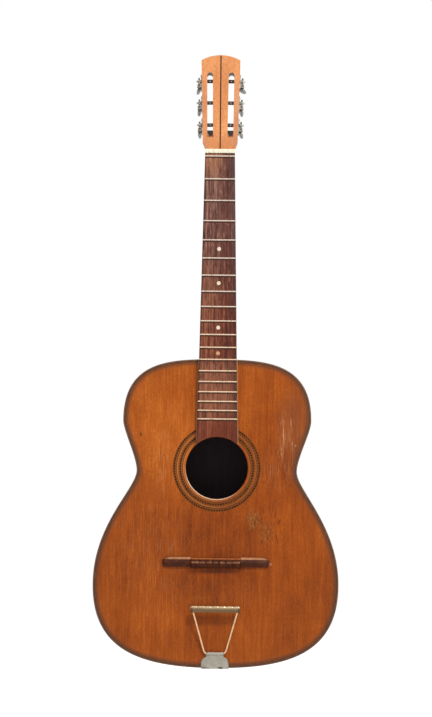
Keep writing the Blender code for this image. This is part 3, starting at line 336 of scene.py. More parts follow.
def merged_copy(node):
    """The solid's mesh with its loose triangles joined to quads, to be shaded smoothly."""
    made = bmesh.new()
    made.from_mesh(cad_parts[node].data)
    bmesh.ops.remove_doubles(made, verts=made.verts, dist=1e-6)
    flat, skew = radians(5), radians(170)
    bmesh.ops.join_triangles(made, faces=made.faces, angle_face_threshold=flat, angle_shape_threshold=skew)
    return meshed(f"{node}_smooth", made)


# %% [markdown]
# ## Finish 1: the top's aged spruce
#
# The top is straight-grained spruce under an orange-brown varnish. Its grain is hundreds of fine dark lines a
# millimetre apart that run up the top, so the noise is stretched a hundred times along Z. Broader streaks and a soft
# mottle lie under them, the middle is redder and darker than the upper bout, and years of playing have scratched the
# treble side. Each mark is placed in metres on the top's own coordinates.


# %% Grain
def streaks(where, across, along, detail=4.0):
    """Noise drawn out up the Z axis, as grain is."""
    return where.stretched(across, across, along).noise(detail=detail)


FINE_GRAIN = 750
print("fine grain: about", round(1000 / FINE_GRAIN, 1), "mm from line to line")

# %% Places on the top
# Ovals, each (x, z, half width, half height, softness, strength).
SHADES = (
    (0, -0.640, 0.13, 0.12, 0.9, -0.16),
    (-0.105, -0.450, 0.07, 0.14, 0.9, 0.10),
    (0.105, -0.500, 0.05, 0.08, 0.9, -0.12),
    (0.125, -0.700, 0.09, 0.10, 0.9, -0.08),
    (-0.070, -0.770, 0.13, 0.05, 0.9, -0.09),
)
SCRATCHED = (
    (0.1035, -0.440, 0.010, 0.052, 0.6, 0.42),
    (0.1190, -0.440, 0.010, 0.034, 0.6, 0.34),
    (0.095, -0.490, 0.040, 0.050, 0.9, 0.22),
    (-0.100, -0.620, 0.090, 0.140, 0.9, 0.14),
    (-0.085, -0.480, 0.020, 0.070, 0.9, 0.30),
    (0, -0.700, 0.150, 0.050, 0.9, 0.07),
)
CUTS = (
    (0.1045, -0.437, 0.0009, 0.031, 0.5, 1),
    (0.1015, -0.464, 0.0008, 0.012, 0.6, 1),
    (0.1185, -0.452, 0.0009, 0.006, 0.6, 1),
    (0.1160, -0.418, 0.0008, 0.008, 0.6, 1),
)
WORN_THROUGH = ((0.058, -0.572, 0.016, 0.022, 0.8, 1), (0.078, -0.592, 0.018, 0.026, 0.8, 0.6))
# A painted shadow under the bridge, as an oval (x, z, half width, half height, softness).
SHADOW_UNDER_BRIDGE = (0, -0.6535, 0.042, 0.0060, 0.7)
print("placed marks:", len(SHADES + SCRATCHED + CUTS + WORN_THROUGH))

# %% The wood's tone
SPRUCE_TONES = ((0.10, "5e2603"), (0.32, "8a3d04"), (0.55, "a7500e"), (0.75, "c26720"), (1.0, "de9342"))


def spruce_tone(where, grain, fine, pits):
    """How light the varnished wood is, from its grain, a mottle and broad shades."""
    x, z = where.part("X"), where.part("Z")
    middle = streaks(grain.moved(0.4, 0, 0.2), 240, 12).step(0.30, 0.72)
    broad = streaks(grain.moved(0.1, 0, 0.6), 42, 4).step(0.25, 0.75)
    mottle = where.stretched(60, 60, 26).noise(detail=6, rough=0.72).step(0.28, 0.74)
    cloud = where.moved(0.2, 0, 0).noise(6, 3).step(0.32, 0.70)
    low = z.step(-0.42, -0.60) - z.step(-0.64, -0.76) * 0.40
    treble = x.step(-0.02, 0.12) * z.step(-0.62, -0.46)
    tone = 0.205 + broad * 0.12 + middle * 0.13 + fine * 0.10 + mottle * 0.17 + cloud * 0.12 + pits * 0.16
    return tone - low * 0.14 - treble * 0.14 + where.spots(SHADES)


print("tones from dark to pale:", [code for _, code in SPRUCE_TONES])


# %% Coats at the edge and round the hole
def edge_coats(where):
    """Grime towards the edge, and a thin line inside the rope."""
    edge = where.node("ShaderNodeAttribute", {"attribute_name": "edge_in"}, output="Fac")
    return [
        (edge.step(0.0185, 0.0125) * 0.10, "7e441c"),
        (edge.step(0.0125, 0.0058) * 0.50, "78462a"),
        (edge.step(0.0058, 0.0053) * 0.88, "482a1a"),
        (edge.band(0.0064, 0.0067, 0.0076, 0.0080) * 0.55, "4e2815"),
    ]


def hole_coats(where):
    """Round the hole: grime under the rope rings, a dark dashed and a pale line in each, and a painted highlight on its
    lower left edge.
    """
    x, z = where.part("X"), where.part("Z")
    ring = where.away(0, HOLE_Z)
    dashes = where.maths("SINE", where.maths("ARCTAN2", z - HOLE_Z, x) * 96.0)
    coats = [(ring.band(0.0515, 0.0530, 0.0684, 0.0694) * 0.40, "6a3c14")]
    for radius in ROSETTE_RADII:
        beside = (ring - radius).positive()
        inner = ring.step(radius, radius - 0.0002)
        dark = beside.band(0.0028, 0.0030, 0.0040, 0.0042) * inner
        pale = beside.band(0.0044, 0.0046, 0.0054, 0.0056) * inner
        coats.append((dark * (0.35 + dashes.step(0.4, -0.3) * 0.5), "341a0a"))
        coats.append((pale * (0.25 + x.step(0.02, -0.03) * 0.35), "c08a4c"))
    # A painted highlight on the hole's edge, strongest at its lower left.
    rim_highlight = ring.step(0.0507, 0.0500) * where.away(-0.020, HOLE_Z - 0.045).step(0.065, 0.025)
    return coats + [(rim_highlight * 0.8, "f0c8a4")]


print("the hole's coats lie round", ROSETTE_RADII)


# %% Coats of wear and a painted shadow, and the finish
def wear_coats(where, scratched):
    """What years of use have left: scratches, cuts, a patch worn through and crackled, faint arcs and knocks; and a
    painted shadow under the bridge.
    """
    nicks = where.stretched(330, 330, 95).noise(detail=3, rough=0.6).step(0.60, 0.66) * 0.5
    scratch = streaks(where.moved(0.3, 0, 0.1), 820, 34, 2).step(0.54, 0.60) + nicks
    broken = streaks(where.moved(0.6, 0, 0.3), 700, 60, 2).step(0.40, 0.55)
    cracks = where.stretched(330, 330, 60).noise(detail=5, rough=0.65).step(0.55, 0.62)
    flecks = where.stretched(420, 420, 150).noise(detail=4, rough=0.7).step(0.50, 0.58)
    patch = where.spots(WORN_THROUGH)
    crackled = where.spot(0.084, -0.588, 0.036, 0.055, 0.7) + patch * 0.4
    arcs = where.arc(0.09, -0.56, 0.208, 0.0004) + where.arc(-0.01, -0.70, 0.118, 0.0004)
    return [
        (where.spot(0.118, -0.425, 0.034, 0.085, 0.8) * 0.30, "8a5536"),
        (scratch.maths("MINIMUM", scratch, 1.0) * scratched * 0.85, "e0a674"),
        (where.spots(CUTS) * broken * 0.8, "dea676"),
        (patch * 0.32, "5d3c14"),
        (patch * flecks * 0.50, "ab8148"),
        (crackled * cracks * 0.75, "33190a"),
        # A painted shadow under the bridge.
        (where.spot(*SHADOW_UNDER_BRIDGE) * 0.45, "3c1a0a"),
        (arcs * where.spot(-0.085, -0.66, 0.05, 0.04, 0.7) * 0.20, "c98a55"),
        (where.spot(0.0855, -0.6415, 0.0052, 0.0034, 0.9) * flecks * 0.9, "dcb79a"),
        (where.spot(0.1235, -0.4547, 0.0018, 0.0018) * 0.5, "dc9868"),
        (where.spot(-0.120, -0.439, 0.0024, 0.0042) * 0.7, "4f260d"),
    ]


def spruce(where):
    sway = where.vector(where.stretched(9, 9, 5).noise(detail=1) * 0.006)
    grain = where.node("ShaderNodeVectorMath", {"operation": "ADD"}, {0: where, 1: sway})
    fine = streaks(grain, FINE_GRAIN, 22).step(0.34, 0.68)
    pits = where.stretched(520, 520, 200).noise(detail=4, rough=0.7).step(0.30, 0.72)
    scratched = where.spots(SCRATCHED)
    colour = spruce_tone(where, grain, fine, pits).ramp(*SPRUCE_TONES)
    colour = painted(colour, *edge_coats(where), *hole_coats(where), *wear_coats(where, scratched))
    rough = 0.42 + fine * 0.10 + scratched * 0.1
    return {"Base Color": colour, "Roughness": rough, "Bump": (fine * 0.7 - pits * 0.4, 0.00012)}


aged_spruce = finish("Aged spruce", spruce, Coat_Weight=0.06, Coat_Roughness=0.3, Specular_IOR_Level=0.14)
print("finish:", aged_spruce.name)

# %% [markdown]
# ## The outline and the top
#
# A guitar's outline is four smooth curves from the neck to the tail: upper bout, waist, lower bout and tail. Each is
# a Bezier curve whose handles are shares of its own width or height. The top itself is built like a wheel, in rings
# round the sound hole that go from the outline in to the hole's edge, because then the hole and the two grooves of the
# inlay are true circles. A number on each ring tells the varnish how far it is from the edge.

# %% Outline
# The half widths, each with its distance below the body's top, and the legs between them with their handles' shares.
UPPER, WAIST, LOWER = (0.148, 0.096), (0.126, 0.176), (0.1935, 0.355)
LEGS = (
    ((0, 0), UPPER, 0.473, 1.0),
    (UPPER, WAIST, 0.225, 0.275),
    (WAIST, LOWER, 0.1564, 0.5251),
    (LOWER, (0, BODY_LENGTH), 0.8092, 0.6047),
)
LEG_STEPS = (40, 24, 30, 46)


def half_outline(inset=0.0):
    """Points (x, z) down the treble side, set in by inset."""
    points = []
    for number, ((start, end, leave, arrive), steps) in enumerate(zip(LEGS, LEG_STEPS)):
        (x0, d0), (x1, d1) = start, end
        first = (x0 + leave * (x1 - x0), d0) if x0 == 0 else (x0, d0 + leave * (d1 - d0))
        second = (x1 + arrive * (x0 - x1), d1) if x1 == 0 else (x1, d1 + arrive * (d0 - d1))
        a, b, c, d = (Vector((x, BODY_TOP - drop)) for x, drop in (start, first, second, end))
        for i in range(steps + (number == 3)):
            t = i / steps
            u = 1 - t
            at = u**3 * a + 3 * u * u * t * b + 3 * u * t * t * c + t**3 * d
            way = (u * u * (b - a) + 2 * u * t * (c - b) + t * t * (d - c)).normalized()
            points.append((at.x + way.y * inset, at.y - way.x * inset))
    return points


def outline(inset=0.0):
    """The whole outline, down the treble side and up the bass side."""
    half = half_outline(inset)
    return half + [(-x, z) for x, z in reversed(half[1:-1])]


DEPTH_AT_NECK, DEEPER_AT_TAIL, DOME_RADIUS = 0.088, 0.010, 4.5


def back_face(x, z):
    """How far behind the top's face the domed back lies."""
    dome = (LOWER[0] ** 2 - x * x) / (2 * DOME_RADIUS)
    return DEPTH_AT_NECK + DEEPER_AT_TAIL * (BODY_TOP - z) / BODY_LENGTH + dome


bearings = [atan2(z - HOLE_Z, x) for x, z in outline(0.003)]
print("outline points:", len(bearings), "widest", round(2 * max(x for x, _ in outline()), 4))

# %% The top
ROSETTE_HALF, ROSETTE_DEPTH = 0.00175, 0.0010
FAR_IN = 0.03


def edge_ring(inset, y):
    return [(x, y, z) for x, z in outline(inset)]


def hole_ring(radius, y):
    return [(radius * cos(turn), y, HOLE_Z + radius * sin(turn)) for turn in bearings]


INSIDE_BINDING = BINDING_WIDTH + GAP
top_rings = [(edge_ring(INSIDE_BINDING, y), INSIDE_BINDING) for y in (TOP_THICKNESS, 0.0002)]
top_rings += [(edge_ring(inset, 0), inset) for inset in (0.0029, 0.0064, 0.0125)]
for radius in reversed(ROSETTE_RADII):
    out, into = radius + ROSETTE_HALF + GAP / 2, radius - ROSETTE_HALF - GAP / 2
    floor = ROSETTE_DEPTH + GAP
    top_rings += [(hole_ring(r, y), FAR_IN) for r, y in ((out, 0), (out, floor), (into, floor), (into, 0))]
rim = ((0.0013, 0), (0.0005, 0.0003), (0, 0.0010), (0, TOP_THICKNESS))
top_rings += [(hole_ring(HOLE_RADIUS + more, y), FAR_IN) for more, y in rim]
mesh = skinned("top_plate", [ring for ring, _ in top_rings], around=True)
edge_in = mesh.attributes.new("edge_in", "FLOAT", "POINT")
count = len(bearings)
edge_in.data.foreach_set("value", [top_rings[i // count][1] for i in range(len(mesh.vertices))])
shown("top_plate", mesh, aged_spruce, "guitar", "spruce_top", "soundboard")
print("top plate:", len(mesh.polygons), "faces")

# %% [markdown]
# ## Finish 2: brown woods
#
# The sides and back of such a guitar are mahogany, seldom seen in a picture taken from the front. Its grain is made of
# short open pores, dark dashes a few millimetres long. The neck and head are the same family of wood with a lighter,
# more orange varnish and fine flecks. One recipe with a few colours as its settings makes them all. On the ribs the
# grain runs round the body, so there the recipe reads a UV map that is laid along the rib.


# %% Brown woods
def brown_wood(pale, deep, pore, along="Z", flecks=0.5):
    """A recipe for wood whose grain runs up Z, or along U of the piece's own map."""

    def recipe(where):
        if along == "U":
            where = where.vector(x=where.part("Y"), z=where.part("X"))
        ribbon = streaks(where, 60, 2.5, 3).step(0.3, 0.7)
        lines = streaks(where, 420, 9, 3).step(0.35, 0.7)
        pores = streaks(where.moved(0.2, 0.1, 0.3), 1300, 60, 2).step(0.58, 0.70)
        glow = where.stretched(30, 30, 12).noise(detail=2).step(0.35, 0.7)
        colour = ribbon.choose(pale, deep)
        colour = painted(colour, (glow * 0.35, pale), (lines * 0.35, deep), (pores * flecks, pore))
        return {"Base Color": colour, "Roughness": 0.38 + pores * 0.2 + lines * 0.06, "Bump": (pores * -1.0, 0.0001)}

    return recipe


MAHOGANY = ("7e3c1c", "582713", "2f140a")
VARNISHED = {"Coat_Weight": 0.2, "Coat_Roughness": 0.2, "Specular_IOR_Level": 0.3}
side_wood = finish("Mahogany", brown_wood(*MAHOGANY), **VARNISHED)
rib_wood = finish("Bent mahogany", brown_wood(*MAHOGANY, "U"), "UV", **VARNISHED)
shim_wood = finish("Shim wood", brown_wood("c19466", "95684a", "5a3a26"), Specular_IOR_Level=0.25)
# The wood inside the body is painted nearly black, a painted shade for the dark inside seen through the hole.
shaded_inside_wood = finish("Dusty inside wood in painted shade", brown_wood("3b3032", "352c2f", "2c2426"), Specular_IOR_Level=0.04)
print("woods:", side_wood.name, rib_wood.name, shim_wood.name, shaded_inside_wood.name)

# %% [markdown]
# ## Ribs and back
#
# The ribs are two strips of mahogany bent round the outline and joined at the tail. The back is a sheet with a slight
# dome. Both follow the outline, so the ribs are a small rectangle swept along each half of it, and the back is a set of
# shrinking outlines lifted on to the dome. Where the heel's tip doesn't reach the back, a short flat strip closes the
# gap between the two ribs.


# %% Ribs
def strip_map(mesh, lengths, per_ring):
    """A UV map along a swept strip: metres along the sweep, and metres across it."""
    layer = mesh.uv_layers.new(name="Along the rib")
    for loop in mesh.loops:
        point = mesh.vertices[loop.vertex_index].co
        layer.data[loop.index].uv = (lengths[loop.vertex_index // per_ring], point.y)


RIB_START = 0.0126
for side, sign in (("bass", -1), ("treble", 1)):
    outer = [(RIB_START, BODY_TOP)] + [(x, z) for x, z in half_outline() if x > RIB_START] + [(GAP / 2, BODY_BOTTOM)]
    inner = [(RIB_START, BODY_TOP - RIB_THICKNESS)]
    inner += [b for a, b in zip(half_outline(), half_outline(RIB_THICKNESS)) if a[0] > RIB_START]
    inner += [(GAP / 2, BODY_BOTTOM + RIB_THICKNESS)]
    rings, lengths = [], [0.0]
    for (xo, zo), (xi, zi) in zip(outer, inner):
        seat = back_face(xo, zo) - BACK_THICKNESS - GAP / 3
        front = BINDING_HEIGHT + GAP / 3
        rings.append([(sign * xo, front, zo), (sign * xo, seat, zo), (sign * xi, seat, zi), (sign * xi, front, zi)])
    for (x0, z0), (x1, z1) in zip(outer, outer[1:]):
        lengths.append(lengths[-1] + hypot(x1 - x0, z1 - z0))
    mesh = skinned(f"rib_{side}_bent", rings)
    strip_map(mesh, lengths, 4)
    shown(f"rib_{side}_bent", mesh, rib_wood, "guitar", "body_wood", f"rib_{side}")

HEEL_TIP = 0.0718
STRIP_HALF, STRIP_THICKNESS = 0.0122, 0.0020
strip_back = back_face(STRIP_HALF, BODY_TOP) - BACK_THICKNESS - GAP / 3
strip = [(sign * STRIP_HALF, BODY_TOP) for sign in (-1, 1)]
strip += [(sign * STRIP_HALF, BODY_TOP - STRIP_THICKNESS) for sign in (1, -1)]
mesh = skinned("rib_under_heel", [[(x, y, z) for x, z in strip] for y in (HEEL_TIP, strip_back)])
shown("rib_under_heel", mesh, side_wood, "guitar", "body_wood")
print("rib length", round(lengths[-1], 3))

# %% Back
BACK_CENTRE = (0.0, BODY_TOP - 0.27)
BACK_RINGS = (1, 0.985, 0.94, 0.86, 0.75, 0.62, 0.48, 0.34, 0.2, 0.08)


def shrunk(points, share, depth):
    cx, cz = BACK_CENTRE
    spots = [(cx + (x - cx) * share, cz + (z - cz) * share) for x, z in points]
    return [(x, back_face(x, z) - depth, z) for x, z in spots]


edge = outline()
rings = [shrunk(edge, share, BACK_THICKNESS) for share in reversed(BACK_RINGS)]
rings += [shrunk(edge, 1, 0.0008), shrunk(outline(0.0003), 1, 0.0002), shrunk(outline(0.0008), 1, 0)]
rings += [shrunk(edge, share, 0) for share in BACK_RINGS[1:]]
mesh = skinned("back_domed", rings)
back = shown("back_domed", mesh, side_wood, "guitar", "body_wood", "back_plate")
# The back's inner face gets the same painted shade as the other wood inside.
mesh.materials.append(shaded_inside_wood)
for face in mesh.polygons:
    face.material_index = int(face.normal.y < -0.5)
print("back is", round(back_face(0, BODY_BOTTOM) * 1000, 1), "mm deep at the tail")

# %% [markdown]
# ## Finish 3: binding and rope inlay
#
# The top's edge wears a dark binding, and inside it a rope: short slanted bits of light wood in a dark ground. The same
# rope runs in the two rings round the sound hole. On a real guitar each bit is glued in. Hundreds of equal bits that
# follow a path are what Geometry Nodes are for: the path is resampled at the rope's pitch, one bit is put on each
# point, turned to the path and then by the rope's slant.


# %% Inlay finishes
def inlay(ground, streak, worn):
    """A recipe for thin bits of stained wood."""

    def recipe(where):
        lines = streaks(where, 500, 40, 3).step(0.35, 0.7)
        age = where.noise(75, 3).step(0.35, 0.7)
        colour = painted(tint(ground), (lines * 0.5, streak), (age * 0.4, worn))
        return {"Base Color": colour, "Roughness": 0.42 + age * 0.1, "Bump": (lines, 0.00005)}

    return recipe


binding_wood = finish("Binding", inlay("6e4833", "442a1e", "8c6447"), Specular_IOR_Level=0.25)
rope_ground = finish("Rope ground", inlay("75431d", "4c280f", "955c29"), Specular_IOR_Level=0.08)
rope_pale = finish("Pale rope bits", inlay("8a6040", "5e3c26", "a07850"), Specular_IOR_Level=0.2)
rope_dark = finish("Dark rope bits", inlay("241008", "120703", "3c2010"), Specular_IOR_Level=0.05)
print("inlay finishes made")

# %% Binding
profile = [(BINDING_WIDTH, BINDING_HEIGHT), (BINDING_WIDTH, 0.0002), (0.0023, 0), (0.0010, 0)]
profile += [(0.0004, 0.0002), (0.0001, 0.0006), (0, 0.0012), (0, BINDING_HEIGHT)]
mesh = skinned("binding_band", [edge_ring(inset, y) for inset, y in profile], around=True)
shown("binding_band", mesh, binding_wood, "guitar", "binding", "binding_front")
print("binding:", len(mesh.polygons), "faces")


# %% A geometry tree with named inputs
def tree_with(name, sizes):
    """An empty geometry tree whose inputs are these sizes. Gives a Wire to build with, and the inputs by name."""
    tree = bpy.data.node_groups.new(name, "GeometryNodeTree")
    tree.interface.new_socket("Geometry", in_out="INPUT", socket_type="NodeSocketGeometry")
    for label, value in sizes.items():
        kind = "NodeSocketInt" if isinstance(value, int) else "NodeSocketFloat"
        tree.interface.new_socket(label, in_out="INPUT", socket_type=kind).default_value = value
    tree.interface.new_socket("Geometry", in_out="OUTPUT", socket_type="NodeSocketGeometry")
    entry = tree.nodes.new("NodeGroupInput")
    given = {socket.name: Wire(tree, socket) for socket in entry.outputs if socket.name}
    return Wire(tree), given


def ended(start, geometry, material):
    """Closes a tree: real faces, one finish, and out."""
    real = start.node("GeometryNodeRealizeInstances", None, {0: geometry})
    done = start.node("GeometryNodeSetMaterial", None, {"Geometry": real, "Material": material})
    start.node("NodeGroupOutput", None, {0: done})
    return start.tree


def grown(name, tree, seedling, sizes):
    """Runs a tree on a mesh of guide points and gives the plain mesh that comes out."""
    holder = linked(f"{name}_guide", seedling)
    modifier = holder.modifiers.new("Tree", "NODES")
    modifier.node_group = tree
    for item in tree.interface.items_tree:
        if item.item_type == "SOCKET" and item.in_out == "INPUT" and item.name in sizes:
            modifier[item.identifier] = sizes[item.name]
    mesh = settled(holder)
    mesh.name = name
    bpy.data.objects.remove(holder)
    return mesh


def guide(name, points, closed=False):
    """A mesh of points, joined in a loop where it is closed."""
    mesh = bpy.data.meshes.new(name)
    count = len(points)
    mesh.from_pydata(points, [(i, (i + 1) % count) for i in range(count)] if closed else [], [])
    return mesh


print("geometry helpers ready")

# %% The rope tree
sizes = {"Pitch": 0.0028, "Bit length": 0.0013, "Bit width": 0.0016, "Bit height": 0.0004, "Slant": 0.6}
start, given = tree_with("Rope inlay", sizes)
path = start.node("GeometryNodeMeshToCurve", None, {0: given["Geometry"]})
points = start.node("GeometryNodeResampleCurve", {"mode": "LENGTH"}, {"Curve": path, "Length": given["Pitch"]})
along = start.node("GeometryNodeInputTangent")
facing = start.node("FunctionNodeAlignRotationToVector", {"axis": "X", "pivot_axis": "Y"}, {"Vector": along})
slanted = start.vector(y=given["Slant"])
turned = start.node("FunctionNodeRotateRotation", {"rotation_space": "LOCAL"}, {0: facing, 1: slanted})
size = start.vector(given["Bit length"], given["Bit height"], given["Bit width"])
bit = start.node("GeometryNodeMeshCube", None, {"Size": size})
bits = start.node("GeometryNodeInstanceOnPoints", None, {"Points": points, "Instance": bit, "Rotation": turned})
rope_tree = ended(start, bits, rope_dark)
print("rope tree:", len(rope_tree.nodes), "nodes")

# %% Rope round the edge and in the two rings
BIT_DEPTH = 0.00017
edge_path = guide("edge_path", [(x, BIT_DEPTH, z) for x, z in outline(0.0040)], closed=True)
edge_bits = grown("rope_edge_bits", rope_tree, edge_path, {"Pitch": 0.0034, "Bit length": 0.0012, "Bit width": 0.0013})
shown("rope_edge_bits", edge_bits, rope_pale, "guitar", "purfling")
RING_BITS = {"Pitch": 0.0042, "Bit length": 0.0023, "Bit width": 0.0021}
for name, radius in zip(("rosette_inner", "rosette_outer"), ROSETTE_RADII):
    low, high = radius - ROSETTE_HALF, radius + ROSETTE_HALF
    rings = [hole_ring(r, y) for r, y in ((high, ROSETTE_DEPTH), (high, 0), (low, 0), (low, ROSETTE_DEPTH))]
    shown(f"{name}_ground", skinned(f"{name}_ground", rings, around=True), rope_ground, "guitar", "purfling", name)
    turns = [i * pi / 90 for i in range(180)]
    circle = [(radius * cos(turn), BIT_DEPTH, HOLE_Z + radius * sin(turn)) for turn in turns]
    mesh = grown(f"{name}_bits", rope_tree, guide(f"{name}_path", circle, closed=True), RING_BITS)
    shown(f"{name}_bits", mesh, None, "guitar", "purfling")
print("rope round the edge:", len(edge_bits.polygons) // 6, "bits")

# %% [markdown]
# ## The neck and its head
#
# Neck, heel and head are one piece of wood. Its solid already has the right shape, so a copy with its loose triangles
# joined is shaded smoothly. The finish is the light orange varnish with fine flecks. The two slots of the head are
# darker inside, most of all at their ends, and that darkening is placed in the head's own tilted axes, with Y up its
# face. A strip of dark wood is let in down its middle.

# %% The head's own axes
HEAD_TURN = radians(77)
SIDE_START, SIDE_END = (0.0148, 0.0275), (0.1437, 0.0306)
SLOT_START, SLOT_END = (0.0184, 0.0158), (0.1238, 0.0170)
SLOT_HALF = 0.0045
HEAD_TAPER = atan((SIDE_END[1] - SIDE_START[1]) / (SIDE_END[0] - SIDE_START[0]))
head_axes = Matrix.Translation((0, NECK_FRONT, HEAD_START)) @ Matrix.Rotation(HEAD_TURN, 4, "X")


def between(start, end, along):
    """What lies between two pairs of (distance along the head, value)."""
    return start[1] + (end[1] - start[1]) * (along - start[0]) / (end[0] - start[0])


def head_half(along):
    """Half width of the head at a distance along its straight sides."""
    return between(SIDE_START, SIDE_END, along)


def slot_middle(along):
    """Distance of a slot's middle from the centre line."""
    return between(SLOT_START, SLOT_END, along)


print("head tapers", round(HEAD_TAPER * 180 / pi, 2), "degrees a side")


# %% Neck and head
def neck_wood(where):
    made = brown_wood("e49a5e", "c97c46", "90522a", flecks=0.6)(where)
    x, lift = where.part("X"), where.moved(0, -NECK_FRONT, -HEAD_START)
    side = x.positive()
    y, z = lift.part("Y"), lift.part("Z")
    along = y * cos(HEAD_TURN) + z * sin(HEAD_TURN)
    depth = y * sin(HEAD_TURN) - z * cos(HEAD_TURN)
    # The slots are darker inside, most of all at their ends.
    in_slot = depth.band(0.0006, 0.0016, 0.0194, 0.0199) * side.band(0.0100, 0.0106, 0.0218, 0.0226)
    vee = ((along - 0.0185) * 0.42 - (side - 0.0159).positive()).step(-0.0010, 0.0008)
    ends = along.band(0.1168, 0.1186, 0.1300, 0.1330) + along.step(0.0390, 0.0360) * vee * 1.1
    slot_darkening = in_slot * (along.step(0.1330, 0.1300) * 0.25 + ends * 0.75)
    fleck = where.stretched(700, 700, 260).noise(detail=3, rough=0.6)
    dull = side.step(0.009, 0.018) * along.band(0.002, 0.006, 0.095, 0.130)
    made["Base Color"] = painted(
        made["Base Color"],
        (fleck.step(0.54, 0.66) * 0.26, "f0bc90"),
        (fleck.step(0.46, 0.36) * 0.26, "a05628"),
        (along.band(-0.004, 0.002, 0.004, 0.034) * 0.34, "b26c3e"),
        (dull * (0.16 + x.step(-0.02, 0.02) * 0.10), "b8846a"),
        (slot_darkening, along.step(0.05, 0.10).choose("1d120d", "46413d")),
    )
    return made


orange_neck = finish("Neck varnish", neck_wood, Coat_Weight=0.05, Coat_Roughness=0.25, Specular_IOR_Level=0.15)
neck = shown("neck_carved", merged_copy("neck"), orange_neck, "guitar", "neck_wood", "neck", sharp=32)
even = neck.modifiers.new("Even light", "WEIGHTED_NORMAL")
even.keep_sharp, even.mode = True, "FACE_AREA_WITH_ANGLE"
print("neck:", len(neck.data.polygons), "faces")

# %% The dark strip down the head
half, sunk, proud = 0.0010, 0.0005, 0.00004
strip = [(-half, -sunk), (half, -sunk), (half, proud), (-half, proud)]
rings = [[head_axes @ Vector((x, y, z)) for x, z in strip] for y in (0.0004, 0.1516)]
strip_wood = finish("Strip wood", inlay("301a10", "24120a", "3e2416"), Specular_IOR_Level=0.1)
shown("head_strip", skinned("head_strip", rings), strip_wood, "guitar", "rosewood")
print("strip is", round((rings[1][0] - rings[0][0]).length, 4), "long")

# %% [markdown]
# ## Fingerboard
#
# The board is a flat strip of rosewood, narrower at the nut, with its end cut round the sound hole. Its bass half is
# paler where fingers have worn it, its edges are dark, its bass edge with a painted shade along it, and a dark line
# lies below each fret, grime together with a painted shadow of the fret. The recipe finds those lines by turning each
# height into a fret number. A thin light strip lies under the board on the body.


# %% Rosewood
FRET_SHARE = 0.0578


def rosewood(where):
    z = where.part("Z")
    lines = streaks(where, 760, 9, 4).step(0.35, 0.66)
    bands = streaks(where, 300, 5, 3).step(0.36, 0.64)
    pores = streaks(where.moved(0.4, 0, 0.2), 1500, 70, 2).step(0.58, 0.68)
    worn = streaks(where.moved(0.1, 0, 0.7), 340, 11, 3).step(0.40, 0.66)
    chips = where.stretched(420, 420, 60).noise(detail=4, rough=0.7)
    high = z.step(-0.30, -0.06)
    lean = where.part("X") / board_half(z)
    rubbed = worn * lean.step(0.35, -0.45) * lean.step(-0.99, -0.80)
    fret = z.maths("LOGARITHM", z / SCALE_LENGTH + 1, 2) * -12
    past = z.maths("FRACT", fret) * (z + SCALE_LENGTH) * FRET_SHARE
    # A dark line below each fret: grime, together with a painted shadow of the fret.
    grime = past.step(0.0038, 0.0029) * z.band(-0.4210, -0.4200, 0.0, 0.0004)
    colour = painted(
        bands.choose(high.choose("82412b", "774a3c"), high.choose("55281c", "55332d")),
        (rubbed * 0.8, high.choose("aa6848", "b08674")),
        (z.step(-0.045, -0.012) * lean.step(0.5, -0.4) * 0.55, "c08058"),
        (z.band(-0.425, -0.385, -0.335, -0.315) * 0.42, "b27557"),
        (lines * 0.45, "421c16"),
        (chips.step(0.56, 0.66) * 0.45, high.choose("b06c48", "bc8c76")),
        (chips.step(0.46, 0.36) * 0.70, "2c1412"),
        (lean.step(0.45, 0.92) * 0.62, high.choose("3c2019", "4e3a39")),
        # A painted shade along the bass edge.
        (lean.step(-0.90, -0.98) * 0.80, "2a1412"),
        (pores * 0.5, "220f0c"),
        (z.step(-0.4140, -0.4210) * 0.45, "74311a"),
        (grime * 0.85, "34190b"),
    )
    rough = 0.48 + pores * 0.2 - worn * 0.08
    return {"Base Color": colour, "Roughness": rough, "Bump": (pores * -1.0 - lines * 0.3, 0.00012)}


board_wood = finish("Rosewood", rosewood, Specular_IOR_Level=0.18)
print("finish:", board_wood.name)


# %% Board
BOARD_START, SHIM_WIDER = 0.0044, 0.0013


def board_edge(margin, top, steps=28):
    """The board in (x, z), down to an arc round the hole."""
    reach = HOLE_RADIUS + 0.0006
    bottom = HOLE_Z + reach
    for _ in range(8):
        half = board_half(bottom) + margin
        bottom = HOLE_Z + sqrt(reach**2 - half**2)
    xs = [half * (1 - 2 * i / steps) for i in range(steps + 1)]
    arc = [(x, HOLE_Z + sqrt(reach**2 - x * x)) for x in xs]
    return [(board_half(top) + margin, top)] + arc + [(-board_half(top) - margin, top)]


def plank(name, edge, front, back):
    return skinned(name, [[(x, y, z) for x, z in edge] for y in (front, back)])


mesh = plank("board", board_edge(0, BOARD_START), BOARD_FRONT, BOARD_BACK)
eased_edges(shown("board", mesh, board_wood, "guitar", "rosewood", "fingerboard"), 0.0005)
mesh = plank("shim", board_edge(SHIM_WIDER, BODY_TOP - GAP), NECK_FRONT, -GAP)
eased_edges(shown("shim", mesh, shim_wood, "guitar", "neck_wood", "fingerboard_shim"), 0.0004)
print("board is", round(2000 * HALF_AT_NUT, 1), "mm wide at the nut and", round(2000 * HALF_AT_BODY, 1), "at the body")

# %% [markdown]
# ## Frets
#
# Frets are half-round wire set across the board. Each one's place follows from its number, the twelfth root of two at
# each step, and its length from the board's width there. So a tree can place all nineteen: points by index, one bar on
# each, stretched to the board.


# %% Frets
def worn_wire(where):
    grime = where.stretched(300, 300, 300).noise(detail=3).step(0.4, 0.7)
    rub = where.stretched(160, 1, 1).noise(detail=2).step(0.35, 0.65)
    paler = where.part("Z").step(-0.32, -0.20).choose("d8b898", "c8b7ac")
    colour = painted(paler, (grime * 0.4, "8f7752"), (rub * 0.3, "e8d4be"))
    rough, metallic = 0.34 + grime * 0.2, 0.75 - grime * 0.4
    return {"Base Color": colour, "Roughness": rough, "Metallic": metallic, "Bump": (grime, 0.00003)}


